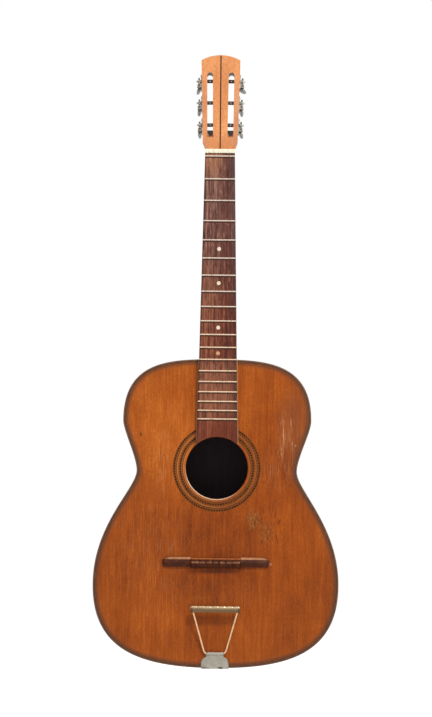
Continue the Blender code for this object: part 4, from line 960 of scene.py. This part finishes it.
fret_wire = finish("Fret wire", worn_wire)
FRETS, FRET_SHORT = 19, 0.0004
sizes = {"Frets": FRETS, "Scale length": SCALE_LENGTH, "Body at": BODY_TOP, "Board face": BOARD_FRONT}
sizes |= {"Half at nut": HALF_AT_NUT - FRET_SHORT, "Half at body": HALF_AT_BODY - FRET_SHORT}
sizes |= {"Wire width": 0.0022, "Wire height": 0.0010}
start, given = tree_with("Fret ladder", sizes)
number = start.node("GeometryNodeInputIndex")
height = given["Scale length"] * (start.maths("POWER", 2.0, number / -12) - 1)
width = given["Half at nut"] + (given["Half at body"] - given["Half at nut"]) * height / given["Body at"]
spots = start.vector(y=given["Board face"], z=height)
points = start.node("GeometryNodePoints", None, {"Count": given["Frets"], "Position": spots})
rod = start.node("GeometryNodeCurvePrimitiveLine", None, {"Start": (-1, 0, 0), "End": (1, 0, 0)})
round_wire = start.node("GeometryNodeCurvePrimitiveCircle", None, {"Resolution": 20, "Radius": 1.0})
bar = start.node("GeometryNodeCurveToMesh", None, {"Curve": rod, "Profile Curve": round_wire, "Fill Caps": True})
size = start.vector(width, given["Wire height"], given["Wire width"] / 2)
bars = start.node("GeometryNodeInstanceOnPoints", None, {"Points": points, "Instance": bar, "Scale": size})
mesh = grown("frets", ended(start, bars, fret_wire), guide("fret_guide", [(0, 0, 0)]), {"Frets": FRETS})
shown("frets", mesh, None, "guitar", "nickel", sharp=60)
low = min(v.co.z for v in mesh.vertices)
print("lowest fret edge", round(low, 4), "against", round(fret_z(FRETS - 1) - 0.0011, 4))

# %% [markdown]
# ## Dots and nut
#
# Three dots are mother of pearl, and the one at the body is a plain tan. Each is a thin turned disc with an eased rim.
# The nut is a bar of bone with a notch for each string. It is skinned from sections along its length, closer together
# about each notch, where the section's top is lowered. The bridge and the trapeze's bar get theirs in the same way.


# %% Dots
def pearly(pale, deep, rough):
    """A recipe for a polished dot with small clouds in it."""

    def recipe(where):
        cloud = where.noise(900, 3, bend=1.2).step(0.35, 0.65)
        return {"Base Color": cloud.choose(pale, deep), "Roughness": rough + cloud * 0.1, "Bump": (cloud, 0.00002)}

    return recipe


pearl_dot = finish("Pearl dot", pearly("efe2cc", "d6c09c", 0.30), Coat_Weight=0.3)
tan_dot = finish("Tan dot", pearly("d4a277", "bb885c", 0.35), Coat_Weight=0.2)
DOT = ((0, 0.0001), (0.0020, 0.00008), (0.0030, 0.00003), (0.0032, -0.0001), (0.0032, -0.0005), (0, -0.0005))
for fret in (5, 7, 10, 12):
    middle = (fret_z(fret) + fret_z(fret - 1)) / 2
    spot = Matrix.Translation((0, BOARD_FRONT, middle)) @ Matrix.Rotation(pi / 2, 4, "X")
    name, material = f"dot_{fret:02d}", tan_dot if fret == 12 else pearl_dot
    shown(name, lathed(name, DOT, 40, spot), material, "guitar", "pearl", f"fret_dot_{fret:02d}")
print("dots at frets 5, 7, 10 and 12")


# %% Bone and notches
def bone(where):
    tube = streaks(where, 300, 40, 3).step(0.4, 0.7)
    age = where.noise(160, 3).step(0.4, 0.75)
    colour = painted("f4ecd6", (tube * 0.3, "d9c8a2"), (age * 0.3, "c9ae7e"))
    return {"Base Color": colour, "Roughness": 0.35 + age * 0.1, "Bump": (tube, 0.00003)}


def notched(xs, notches, half, soft):
    """How deep each x is in a notch, from 0 to 1."""
    return [max(0.0, 1 - max(0.0, min(abs(x - n) for n in notches) - half) / soft) for x in xs]


def string_places(spread):
    return [spread * (i / 5 - 0.5) for i in range(6)]


def stations(low, high, steps, marks, reach):
    """Even stations along a bar with closer ones about each mark."""
    even = [low + (high - low) * i / steps for i in range(steps + 1)]
    near = [mark + reach * share for mark in marks for share in (-1, -0.75, -0.5, 0.5, 0.75, 1)]
    keep = [x for x in even if min(abs(x - mark) for mark in marks) > reach * 1.1]
    return sorted(keep + near + list(marks))


bone_nut = finish("Bone", bone, Coat_Weight=0.2)
print("finish:", bone_nut.name)

# %% Nut
NUT_SPREAD = 0.0392
NUT_FRONT, NOTCH_DEPTH = -0.0126, 0.0012
notches = string_places(NUT_SPREAD)
xs = stations(-HALF_AT_NUT, HALF_AT_NUT, 24, notches, 0.0010)
profile = [(-0.0043, 0.0047), (-0.0112, 0.0047), (-0.0122, 0.0051), (NUT_FRONT, 0.0060)]
profile += [(NUT_FRONT, 0.0100), (-0.0122, 0.0109), (-0.0112, 0.0113), (-0.0043, 0.0113)]
rings = []
for x, deep in zip(xs, notched(xs, notches, 0.0005, 0.0004)):
    cut = NUT_FRONT + NOTCH_DEPTH * deep
    rings.append([(x, max(y, cut) if y < -0.011 else y, z) for y, z in profile])
eased_edges(shown("nut_bone", skinned("nut_bone", rings), bone_nut, "guitar", "bone", "nut", sharp=50), 0.0003)
print("nut has", len(notches), "notches")

# %% [markdown]
# ## The bridge
#
# A floating bridge of dark stained maple: a tall middle with a sharp crest, cut by six string notches and scalloped
# between them, and two low wings. Its upper bevel, where it faces up, is painted lighter, a painted highlight with some
# wear to the orange wood in it, and the crest between the notches has painted highlights too. It is skinned from
# sections along its length, with the crest lowered wherever a string crosses.

# %% Bridge sections
# Each row: distance from the middle, reach up and down from the crest, depth of the shoulder, depth of the crest.
BRIDGE_TABLE = (
    (0.0380, 0.0072, 0.0090, 0.0065, 0.0145),
    (0.0400, 0.0084, 0.0071, 0.0042, 0.0089),
    (0.0460, 0.0086, 0.0068, 0.0035, 0.0085),
    (0.0720, 0.0086, 0.0068, 0.0035, 0.0072),
    (0.0815, 0.0063, 0.0068, 0.0028, 0.0051),
    (0.0840, 0.0037, 0.0037, 0.0016, 0.0030),
)


def table_at(table, x):
    """The table's row at a distance from the middle, eased between its own rows."""
    x = abs(x)
    if x <= table[0][0]:
        return table[0][1:]
    for near, far in zip(table, table[1:]):
        if x <= far[0]:
            share = (x - near[0]) / (far[0] - near[0])
            return tuple(a + (b - a) * share for a, b in zip(near[1:], far[1:]))
    return table[-1][1:]


def bridge_ring(x, dip):
    """The section at a distance from the middle, with its crest lowered by dip."""
    up, down, shoulder, crest = table_at(BRIDGE_TABLE, x)
    crest -= dip
    half = 0.0011
    edge = [(0.0, up), (shoulder * 0.9, up), (shoulder, up - 0.0005), (crest - 0.0004, half), (crest, half * 0.5)]
    edge += [(crest, -half * 0.5), (crest - 0.0004, -half), (shoulder, 0.0005 - down), (shoulder * 0.9, -down)]
    edge += [(0.0, -down)]
    return [(x, -GAP / 3 - out, -SCALE_LENGTH + rise) for out, rise in edge]


BRIDGE_HALF, MIDDLE_HALF = 0.0840, 0.037
SCALLOP, HALF_SPACE = 0.0016, 0.00525
BRIDGE_SPREAD = 10 * HALF_SPACE
notches = string_places(BRIDGE_SPREAD)
xs = stations(-BRIDGE_HALF, BRIDGE_HALF, 72, notches, 0.0016)
xs = sorted(xs + [s * x for s in (-1, 1) for x in (0.0380, 0.0386, 0.0394, 0.0400, 0.0815, 0.0829)])
rings = []
for x, deep in zip(xs, notched(xs, notches, 0.0006, 0.0007)):
    nearest = min(abs(x - n) for n in notches) if abs(x) < notches[-1] else HALF_SPACE
    scallop = SCALLOP * (1 - min(1.0, nearest / HALF_SPACE)) if abs(x) < MIDDLE_HALF else 0.0
    rings.append(bridge_ring(x, scallop + SCALLOP * deep))
print("bridge:", len(rings), "sections")


# %% Bridge
def dark_maple(where):
    worn = where.noise(140, 4).step(0.42, 0.72)
    lines = where.stretched(60, 700, 700).noise(detail=3).step(0.4, 0.7)
    facing = where.node("ShaderNodeNewGeometry", output="Normal").part("Z")
    middle = where.part("X").positive().step(0.0388, 0.0380)
    rise = where.part("Z") + SCALE_LENGTH
    ends_wear_and_highlight, middle_wear_and_highlight = rise.step(0.0046, 0.0056), rise.step(0.0046, 0.0058)
    wear_and_highlight_above = middle.node("ShaderNodeMix", None, {0: middle, 2: ends_wear_and_highlight, 3: middle_wear_and_highlight})
    # The faces of the upper bevel that look up are painted lighter: a painted highlight, with some wear in it.
    bevel = facing.step(0.25, 0.62) * where.part("Y").step(-0.0022, -0.0036) * wear_and_highlight_above
    # Painted highlights on the crest between the notches.
    crest = where.part("Y").step(-0.0118, -0.0138) * rise.band(-0.0022, 0.0000, 0.0008, 0.0032)
    colour = painted(
        "48200f",
        (lines * 0.5, "2a1208"),
        (worn * 0.40, "74401f"),
        (bevel * (0.7 + worn * 0.3), middle.choose("cc8c62", "b4683a")),
        (crest * middle * (0.3 + worn * 0.6), "b47c5c"),
    )
    return {"Base Color": colour, "Roughness": 0.42 + worn * 0.12, "Bump": (lines + worn * 0.5, 0.00006)}


bridge_wood = finish("Stained maple", dark_maple, Coat_Weight=0.05, Coat_Roughness=0.25, Specular_IOR_Level=0.1)
shown("bridge_carved", skinned("bridge_carved", rings), bridge_wood, "guitar", "bridge_wood", "bridge", sharp=28)
print("finish:", bridge_wood.name)

# %% [markdown]
# ## The trapeze tailpiece
#
# The strings are held by a nickelled trapeze: a plate bent over the tail and rolled into a barrel, a wire whose pin
# turns in that barrel and whose two rods spread upwards, and a bar rolled over the rods' ends. The nickel has gone warm
# and cloudy; the rods' warm tan also stands for the wood reflected in them, a painted reflection, and the bar's front
# is painted darker below its roll, a painted shade with a painted shadow along its lower edge. Plate and bar are sheets
# with thickness, the wire is a circle swept along its bend. Wire and bar swing on the hinge, so they ride on their own
# body.


# %% Worn nickel
def worn_metal(bright, dull, rust, cloudy=0.5):
    """A recipe for old plating: bright where it is whole, dull in clouds and rusty in specks."""

    def recipe(where):
        cloud = where.noise(90, 4).step(0.35, 0.7)
        brushed = where.stretched(900, 900, 60).noise(detail=2).step(0.3, 0.7)
        specks = where.noise(700, 3).step(0.62, 0.72)
        colour = painted(bright, (cloud * cloudy, dull), (specks * 0.6, rust))
        rough, metallic = 0.26 + cloud * 0.16 + specks * 0.25 + brushed * 0.05, 1 - specks * 0.5
        bump = (brushed * 0.4 - specks, 0.00003)
        return {"Base Color": colour, "Roughness": rough, "Metallic": metallic, "Bump": bump}

    return recipe


def recoated(recipe, coats):
    """The same finish with further coats on its colour, worked out from its coordinates."""

    def recipe_with_coats(where):
        made = recipe(where)
        made["Base Color"] = painted(made["Base Color"], *coats(where))
        return made

    return recipe_with_coats


print("recipes for worn metal ready")


# %% Metals
def plate_dark_spots(where):
    """Two dark spots at the plate's lower edge."""
    left = where.spot(-0.0165, BODY_BOTTOM + 0.0002, 0.0046, 0.0012)
    right = where.spot(0.0085, BODY_BOTTOM + 0.0006, 0.0052, 0.0018)
    return [((left + right) * 0.85, "1e1a16")]


def bar_painted_shade(where):
    """The front of the bar below its roll is painted darker, a painted shade, with a painted shadow along its lower
    edge, and it is darker still at its ends.
    """
    side, z = where.part("X").positive(), where.part("Z")
    shade_below_roll = z.step(HINGE_Z + 0.0722, HINGE_Z + 0.0708)
    # A painted shadow along the bar's lower edge.
    foot = z.step(HINGE_Z + 0.0690, HINGE_Z + 0.0680)
    ends = side.band(0.0350, 0.0362, 0.0375, 0.0385)
    return [(shade_below_roll * 0.80, "5a4a35"), (foot * 0.7, "6a4a30"), (ends * shade_below_roll * 0.7, "3c3226")]


def bright_outside(where):
    """What stands outside the head is paler than what lies in its slots."""
    return [(where.part("X").positive().step(0.0296, 0.0304) * 0.9, "9b978f")]


plate_nickel = finish("Plate with dark spots", recoated(worn_metal("a09a8f", "7d776c", "554330"), plate_dark_spots))
bar_nickel = finish("Bar nickel in painted shade", recoated(worn_metal("b89e7e", "977c5f", "5a4632"), bar_painted_shade))
# The rods' warm tan stands partly for the wood reflected in them, a painted reflection.
wire_with_wood_reflection = finish("Warm nickel wire with painted reflection", worn_metal("d6b48c", "a17f5b", "6b4a34", 0.6))
plate_steel = finish("Tuner plate", worn_metal("827b70", "5c554b", "44392d", 0.6))
dark_steel = finish("Roller steel", recoated(worn_metal("4a4643", "2f2c2a", "1d1815", 0.7), bright_outside))
worm_steel = finish("Worm steel", worn_metal("6e6a64", "46423d", "2e2620", 0.6))
gear_brass = finish("Gear metal", worn_metal("a5a199", "7c786f", "4a4035", 0.7))
button_metal = finish("Button metal", worn_metal("9a9893", "66645f", "403c36", 0.6))
print("metals made")

# %% Plate
SHEET, WIRE_RADIUS = 0.0008, 0.0016
PIN_Y = -0.0030
PLATE_HALF, SHOULDER_HALF, NARROW_HALF, BARREL_HALF = 0.0218, 0.0147, 0.0139, 0.0130
SHOULDER_RISE, SHOULDER_TALL = 0.0178, 0.0120
PLATE_BACK, TONGUE_LENGTH, TONGUE_TIP_HALF = 0.034, 0.0345, 0.004


def rounded(share):
    """A quarter circle's height, from 0 to 1."""
    return sqrt(max(0.0, 1 - (1 - share) ** 2))


def plate_half(rise):
    """The plate's half width at a height above its foot, with round shoulders."""
    if rise > SHOULDER_RISE:
        return NARROW_HALF
    shoulder = min(1.0, (SHOULDER_RISE - rise) / SHOULDER_TALL)
    return SHOULDER_HALF + (PLATE_HALF - SHOULDER_HALF) * rounded(shoulder)


foot = BODY_BOTTOM - GAP - SHEET / 2
seat = -GAP - SHEET / 2
bend = GAP + SHEET / 2
rows = []
for share in (i / 12 for i in range(13)):
    half = PLATE_HALF * rounded(min(1.0, share * 1.35)) if share else TONGUE_TIP_HALF
    rows.append((PLATE_BACK - TONGUE_LENGTH * share, foot, half))
rows = [row for row in rows if row[0] > 0.0009]
for turn in (pi / 2 * i / 6 for i in range(7)):
    rows.append((seat + bend * (1 - sin(turn)), foot + bend * (1 - cos(turn)), PLATE_HALF))
rows += [(seat, foot + rise, plate_half(rise)) for rise in (0.0012 + 0.0205 * i / 22 for i in range(23))]
roll = SHEET / 2 + GAP + WIRE_RADIUS
for turn in (-pi / 2 + radians(300) * i / 24 for i in range(25)):
    rows.append((PIN_Y - roll * sin(turn), HINGE_Z + roll * cos(turn), BARREL_HALF))
mesh = sheet("tail_plate", [[(half * (2 * j / 16 - 1), y, z) for j in range(17)] for y, z, half in rows])
thickened(shown("tail_plate", mesh, plate_nickel, "guitar", "nickel", "tailpiece_plate", sharp=50), SHEET)
print("plate rows:", len(rows))

# %% Wire
# The rods run straight from the bar to where they bend round to the pin, each place (distance from the middle, height).
BAR_RISE, BAR_LIFT = 0.0758, 0.0121
ROD_TOP, ROD_FOOT = (0.0361, BAR_RISE - 0.0046), (0.0180, 0.0064)
CORNER, PIN_START = (0.0162, 0.0003), (0.0128, 0.0)
hinge = Matrix.Translation((0, PIN_Y, HINGE_Z)) @ Matrix.Rotation(atan(BAR_LIFT / BAR_RISE), 4, "X")
half_path = [[top + (low - top) * i / 6 for top, low in zip(ROD_TOP, ROD_FOOT)] for i in range(7)]
for t in (i / 8 for i in range(1, 9)):
    spot = [(1 - t) ** 2 * a + 2 * t * (1 - t) * b + t * t * c for a, b, c in zip(ROD_FOOT, CORNER, PIN_START)]
    half_path.append(spot)
path = half_path + [(-x, rise) for x, rise in reversed(half_path)]
turns = [2 * pi * k / 20 for k in range(20)]
front = Vector((0, 1, 0))
rings = []
for i, (x, rise) in enumerate(path):
    before, after = path[max(0, i - 1)], path[min(len(path) - 1, i + 1)]
    side = Vector((after[0] - before[0], 0, after[1] - before[1])).normalized().cross(front)
    rings.append([hinge @ (Vector((x, 0, rise)) + WIRE_RADIUS * (cos(t) * side + sin(t) * front)) for t in turns])
mesh = skinned("trapeze_wire", rings)
shown("trapeze_wire", mesh, wire_with_wood_reflection, "trapeze", "nickel", "tailpiece_wire", sharp=50)
print("wire:", len(rings), "rings")

# %% Bar
BAR_SHEET, BAR_HALF, BAR_SPREAD, BAR_NOTCH = 0.0012, 0.0390, 0.0560, 0.0005
face = -WIRE_RADIUS - GAP - BAR_SHEET / 2
roll = -face
top = BAR_RISE - roll
low = top - 0.0098 + roll
profile = [(face - 0.0010, low), (face - 0.0006, low + 0.0010), (face, low + 0.0018), (face, low + 0.005), (face, top)]
profile += [(face * cos(pi * i / 14), top + roll * sin(pi * i / 14)) for i in range(1, 15)] + [(roll, top - 0.0015)]
notches = string_places(BAR_SPREAD)
xs = stations(-BAR_HALF, BAR_HALF, 30, notches, 0.0011)
dips = notched(xs, notches, 0.0007, 0.0004)
rows = []
for y, z in profile:
    high = max(0.0, (z - top) / roll)
    rows.append([hinge @ Vector((x, y, z - BAR_NOTCH * dip * high)) for x, dip in zip(xs, dips)])
mesh = sheet("trapeze_bar", rows)
thickened(shown("trapeze_bar", mesh, bar_nickel, "trapeze", "nickel", "tailpiece_bar", sharp=50), BAR_SHEET)
print("bar spans", round(xs[-1] - xs[0], 4))

# %% [markdown]
# ## The tuning machines
#
# Six open machines hang on the head's sides. A key turns a worm, the worm turns a gear, and the gear's roller winds the
# string. Plates, gears and worms keep their solids, which already have real teeth and threads. The keys' buttons and
# the rollers are made finer: the button is skinned through ovals, the roller is turned and then bored for its string,
# so that the white behind the guitar shows through the bore.

# %% Sizes of the machines
# Each machine's distance along the head, and how many degrees its bass and its treble key stand turned.
TUNERS = ((0.0403, (4, 22)), (0.0762, (-7, 6)), (0.1112, (-24, 58)))
KEY_OUT, KEY_DOWN, BUTTON_START = 0.0044, 0.00755, 0.018
# The button from its neck outwards: distance, half width and half thickness.
BUTTON = (
    (0, 0.0023, 0.0023), (0.0004, 0.0024, 0.0024), (0.0022, 0.0024, 0.0024), (0.0031, 0.0031, 0.0025),
    (0.0040, 0.0046, 0.0026), (0.0055, 0.0062, 0.0028), (0.0072, 0.0070, 0.0030), (0.0095, 0.0072, 0.0030),
    (0.0118, 0.0070, 0.0030), (0.0136, 0.0064, 0.0028), (0.0150, 0.0056, 0.0024), (0.0161, 0.0043, 0.0018),
    (0.0167, 0.0030, 0.0012), (0.0170, 0.0014, 0.0006),
)
# The roller from its screw's head inwards: radius, and distance outside the head's side.
ROLLER = (
    (0, 0.0087), (0.0005, 0.0087), (0.0011, 0.0084), (0.00145, 0.0078), (0.0017, 0.0061), (0.0020, 0.0061),
    (0.0020, 0.0027), (0.0029, 0.0027),
)
ROLLER_RADIUS, SEAT_DEPTH, BORE_RADIUS = 0.0029, 0.0060, 0.0010
print("button stands out", BUTTON_START + BUTTON[-1][0])


# %% Buttons and rollers
def machine_axes(sign, along):
    """A machine's own axes on the head's side: X across, Y up the side, Z to the front."""
    spot = Matrix.Translation((sign * head_half(along), along, -HEAD_THICKNESS / 2))
    return head_axes @ spot @ Matrix.Rotation(-sign * HEAD_TAPER, 4, "Z")


def bored(mesh, matrix, radius, length):
    """Drills a mesh through along Z of the matrix, and gives the drilled mesh."""
    profile = ((0, -length), (radius, -length), (radius, length), (0, length))
    blank, drill = linked("blank", mesh), linked("drill", lathed("drill", profile, 24, matrix))
    cut = blank.modifiers.new("Bore", "BOOLEAN")
    cut.object, cut.operation = drill, "DIFFERENCE"
    drilled = settled(blank)
    for done in (blank, drill):
        bpy.data.objects.remove(done)
    return drilled


ring = [2 * pi * k / 32 for k in range(32)]
for number, (along, turns) in enumerate(TUNERS, start=1):
    for side, sign, turn in (("bass", -1, turns[0]), ("treble", 1, turns[1])):
        which = f"{side}_{number}"
        axes = machine_axes(sign, along)
        key = axes @ Matrix.Translation((sign * KEY_OUT, -KEY_DOWN, 0)) @ Matrix.Rotation(radians(turn), 4, "Z")
        rings = []
        for out, wide, thick in BUTTON:
            rings.append([key @ Vector((thick * cos(t), wide * sin(t), -BUTTON_START - out)) for t in ring])
        name = f"button_grip_{which}"
        mesh = skinned(name, rings)
        shown(name, mesh, button_metal, f"key_{which}", "button_metal", f"button_{which}", sharp=50)
        reach = (head_half(along) - slot_middle(along) + SLOT_HALF + SEAT_DEPTH) / cos(HEAD_TAPER)
        name = f"roller_turned_{which}"
        profile = ROLLER + ((ROLLER_RADIUS, -reach), (0, -reach))
        mesh = lathed(name, profile, 32, axes @ Matrix.Rotation(sign * pi / 2, 4, "Y"))
        middle = axes @ Matrix.Translation((sign * (slot_middle(along) - head_half(along)), 0, 0))
        mesh = bored(mesh, middle, BORE_RADIUS, 0.01)
        shown(name, mesh, dark_steel, f"string_roller_{which}", "roller_steel", f"roller_{which}", sharp=40)
print("six buttons and six rollers")

# %% [markdown]
# ## Screws
#
# Small slotted screws hold the machines' plates, and two larger ones hold the tail plate. All have one shape, a flat
# dome with a thin box cut out of it, and only their sizes differ. So a tree puts one on each guide point, and each
# point carries the way in which its screw faces.

# %% Screws
start, given = tree_with("Screws", {"Radius": 0.0015, "Height": 0.0006, "Slot": 0.0004})
cone = {"Vertices": 20, "Depth": given["Height"]}
cone |= {"Radius Top": given["Radius"] * 0.62, "Radius Bottom": given["Radius"]}
dome = start.node("GeometryNodeMeshCone", None, cone)
size = start.vector(given["Radius"] * 3, given["Slot"], given["Height"])
blade = start.node("GeometryNodeMeshCube", None, {"Size": size})
lift = start.vector(z=given["Height"])
blade = start.node("GeometryNodeTransform", None, {"Geometry": blade, "Translation": lift})
screw = start.node("GeometryNodeMeshBoolean", {"operation": "DIFFERENCE"}, {"Mesh 1": dome, "Mesh 2": blade})
facing = start.node("GeometryNodeInputNamedAttribute", {"data_type": "FLOAT_VECTOR"}, {"Name": "facing"})
turned = start.node("FunctionNodeAlignRotationToVector", {"axis": "Z"}, {"Vector": facing})
one_each = {"Points": given["Geometry"], "Instance": screw, "Rotation": turned}
screws = start.node("GeometryNodeInstanceOnPoints", None, one_each)
screw_tree = ended(start, screws, plate_steel)


def screw_guide(name, spots):
    """Guide points that know which way their screw faces."""
    mesh = guide(name, [spot for spot, _ in spots])
    facing = mesh.attributes.new("facing", "FLOAT_VECTOR", "POINT")
    facing.data.foreach_set("vector", [part for _, way in spots for part in way])
    return mesh


PLATE_FACE, SCREWS_UP = 0.0013, (0.0080, -0.0133)
spots = []
for along, _ in TUNERS:
    for sign in (-1, 1):
        axes = machine_axes(sign, along)
        out = axes.to_3x3() @ Vector((sign, 0, 0))
        spots += [(axes @ Vector((sign * PLATE_FACE, up, 0)), out) for up in SCREWS_UP]
mesh = grown("machine_screws", screw_tree, screw_guide("machine_screw_guide", spots), {"Radius": 0.0016})
shown("machine_screws", mesh, None, "guitar", "plate_steel", sharp=40)
print("screws on the machines:", len(spots))

# %% The tail plate's two screws
TAIL_SCREW = {"Radius": 0.0026, "Height": 0.0009, "Slot": 0.0007}
SCREW_OUT, SCREW_BACK = 0.0105, 0.016
spots = [((x, SCREW_BACK, BODY_BOTTOM - GAP - SHEET), (0, 0, -1)) for x in (-SCREW_OUT, SCREW_OUT)]
mesh = grown("tail_screws", screw_tree, screw_guide("tail_screw_guide", spots), TAIL_SCREW)
shown("tail_screws", mesh, None, "guitar", "nickel", sharp=40)
print("screws under the tail:", len(spots))

# %% [markdown]
# ## Finishes for the solids that stay
#
# The rest of the solids are right as they are and only get a better finish: the linings, blocks and braces inside,
# which can be seen through the sound hole and are painted nearly black as a painted shade, and the metal of the
# machines.

# %% Solids that stay
# The wood inside gets the nearly black finish that stands for shade.
KEPT = {
    "tuner_plate": plate_steel, "gear": gear_brass, "worm": worm_steel, "lining": shaded_inside_wood, "brace": shaded_inside_wood,
    "neck_block": shaded_inside_wood, "tail_block": shaded_inside_wood,
}
dressed = 0
for name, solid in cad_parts.items():
    for start_of, material in KEPT.items():
        if name.startswith(start_of):
            for slot in solid.material_slots:
                slot.material = material
            dressed += 1
print("solids that stay:", dressed)

# %% [markdown]
# ## Studio, light and camera
#
# The photograph is a catalogue shot on white. The world is white wherever the camera or a reflection sees it, and so is
# a pale floor. The guitar hangs above that floor, because its trapeze can swing down past the tail. One wide lamp is
# high at the front right, so that the bar of the trapeze and the fingerboard throw their shadows down and to the left.
# The camera is level with the middle of the guitar and looks straight at it, and it is far away, so the picture is
# nearly without perspective. The guitar leans a little to the right in the picture, which a turn of the camera gives.


# %% Floor and world
def white_for_camera(start, seen_as, own):
    """A strength of seen_as for what the camera and reflections see, and of own for the light that it gives."""
    camera, glossy, through = (
        start.node("ShaderNodeLightPath", output=f"Is {ray} Ray") for ray in ("Camera", "Glossy", "Transmission")
    )
    seen = camera + glossy + through
    return seen.maths("MINIMUM", seen, 1.0) * (seen_as - own) + own


WHITE = (1, 1, 1, 1)
world = bpy.data.worlds.new("Studio")
bpy.context.scene.world = world
start = emptied(world)
light = start.node("ShaderNodeBackground", None, {"Color": WHITE, "Strength": white_for_camera(start, 1.0, 0.55)})
start.node("ShaderNodeOutputWorld", None, {"Surface": light})

FLOOR_Z = BODY_BOTTOM - 0.100
floor_mesh = bpy.data.meshes.new("floor")
floor_mesh.from_pydata([(-6, -4, FLOOR_Z), (6, -4, FLOOR_Z), (6, 8, FLOOR_Z), (-6, 8, FLOOR_Z)], [], [(0, 1, 2, 3)])
floor = linked("floor", floor_mesh)
pale = bpy.data.materials.new("Pale floor")
start = emptied(pale)
matt = {"Base Color": (0.86, 0.85, 0.84, 1), "Roughness": 0.9}
matt |= {"Emission Color": WHITE, "Emission Strength": white_for_camera(start, 0.62, 0.0)}
start.node("ShaderNodeOutputMaterial", None, {"Surface": start.node("ShaderNodeBsdfPrincipled", None, matt)})
floor_mesh.materials.append(pale)
print("floor at", round(FLOOR_Z, 4))


# %% Lamp and camera
def lamp(name, spot, aim, size, power):
    made = linked(name, bpy.data.lights.new(name, "AREA"))
    made.data.shape, made.data.size, made.data.energy = "DISK", size, power
    made.location = spot
    made.rotation_euler = (Vector(aim) - Vector(spot)).to_track_quat("-Z", "Y").to_euler()


SENSOR, FAR = 36, 20.0
PICTURE_TALL, PIXEL = 717, 0.001574
LOOKS_AT_X, LOOKS_AT_Z = -0.0030, -0.3186
LEAN = radians(0.6)
lamp("key", (0.75, -1.7, 1.25), (0, 0, -0.45), 0.5, 38)
camera = linked("camera", bpy.data.cameras.new("camera"))
camera.data.sensor_width = SENSOR
camera.data.lens = SENSOR * FAR / (PICTURE_TALL * PIXEL)
camera.location = (LOOKS_AT_X, -FAR, LOOKS_AT_Z)
camera.rotation_mode = "QUATERNION"
camera.rotation_quaternion = (Matrix.Rotation(pi / 2, 4, "X") @ Matrix.Rotation(LEAN, 4, "Z")).to_quaternion()
bpy.context.scene.camera = camera
bpy.context.scene.view_settings.view_transform = "Standard"
print("camera at", tuple(round(v, 3) for v in camera.location))
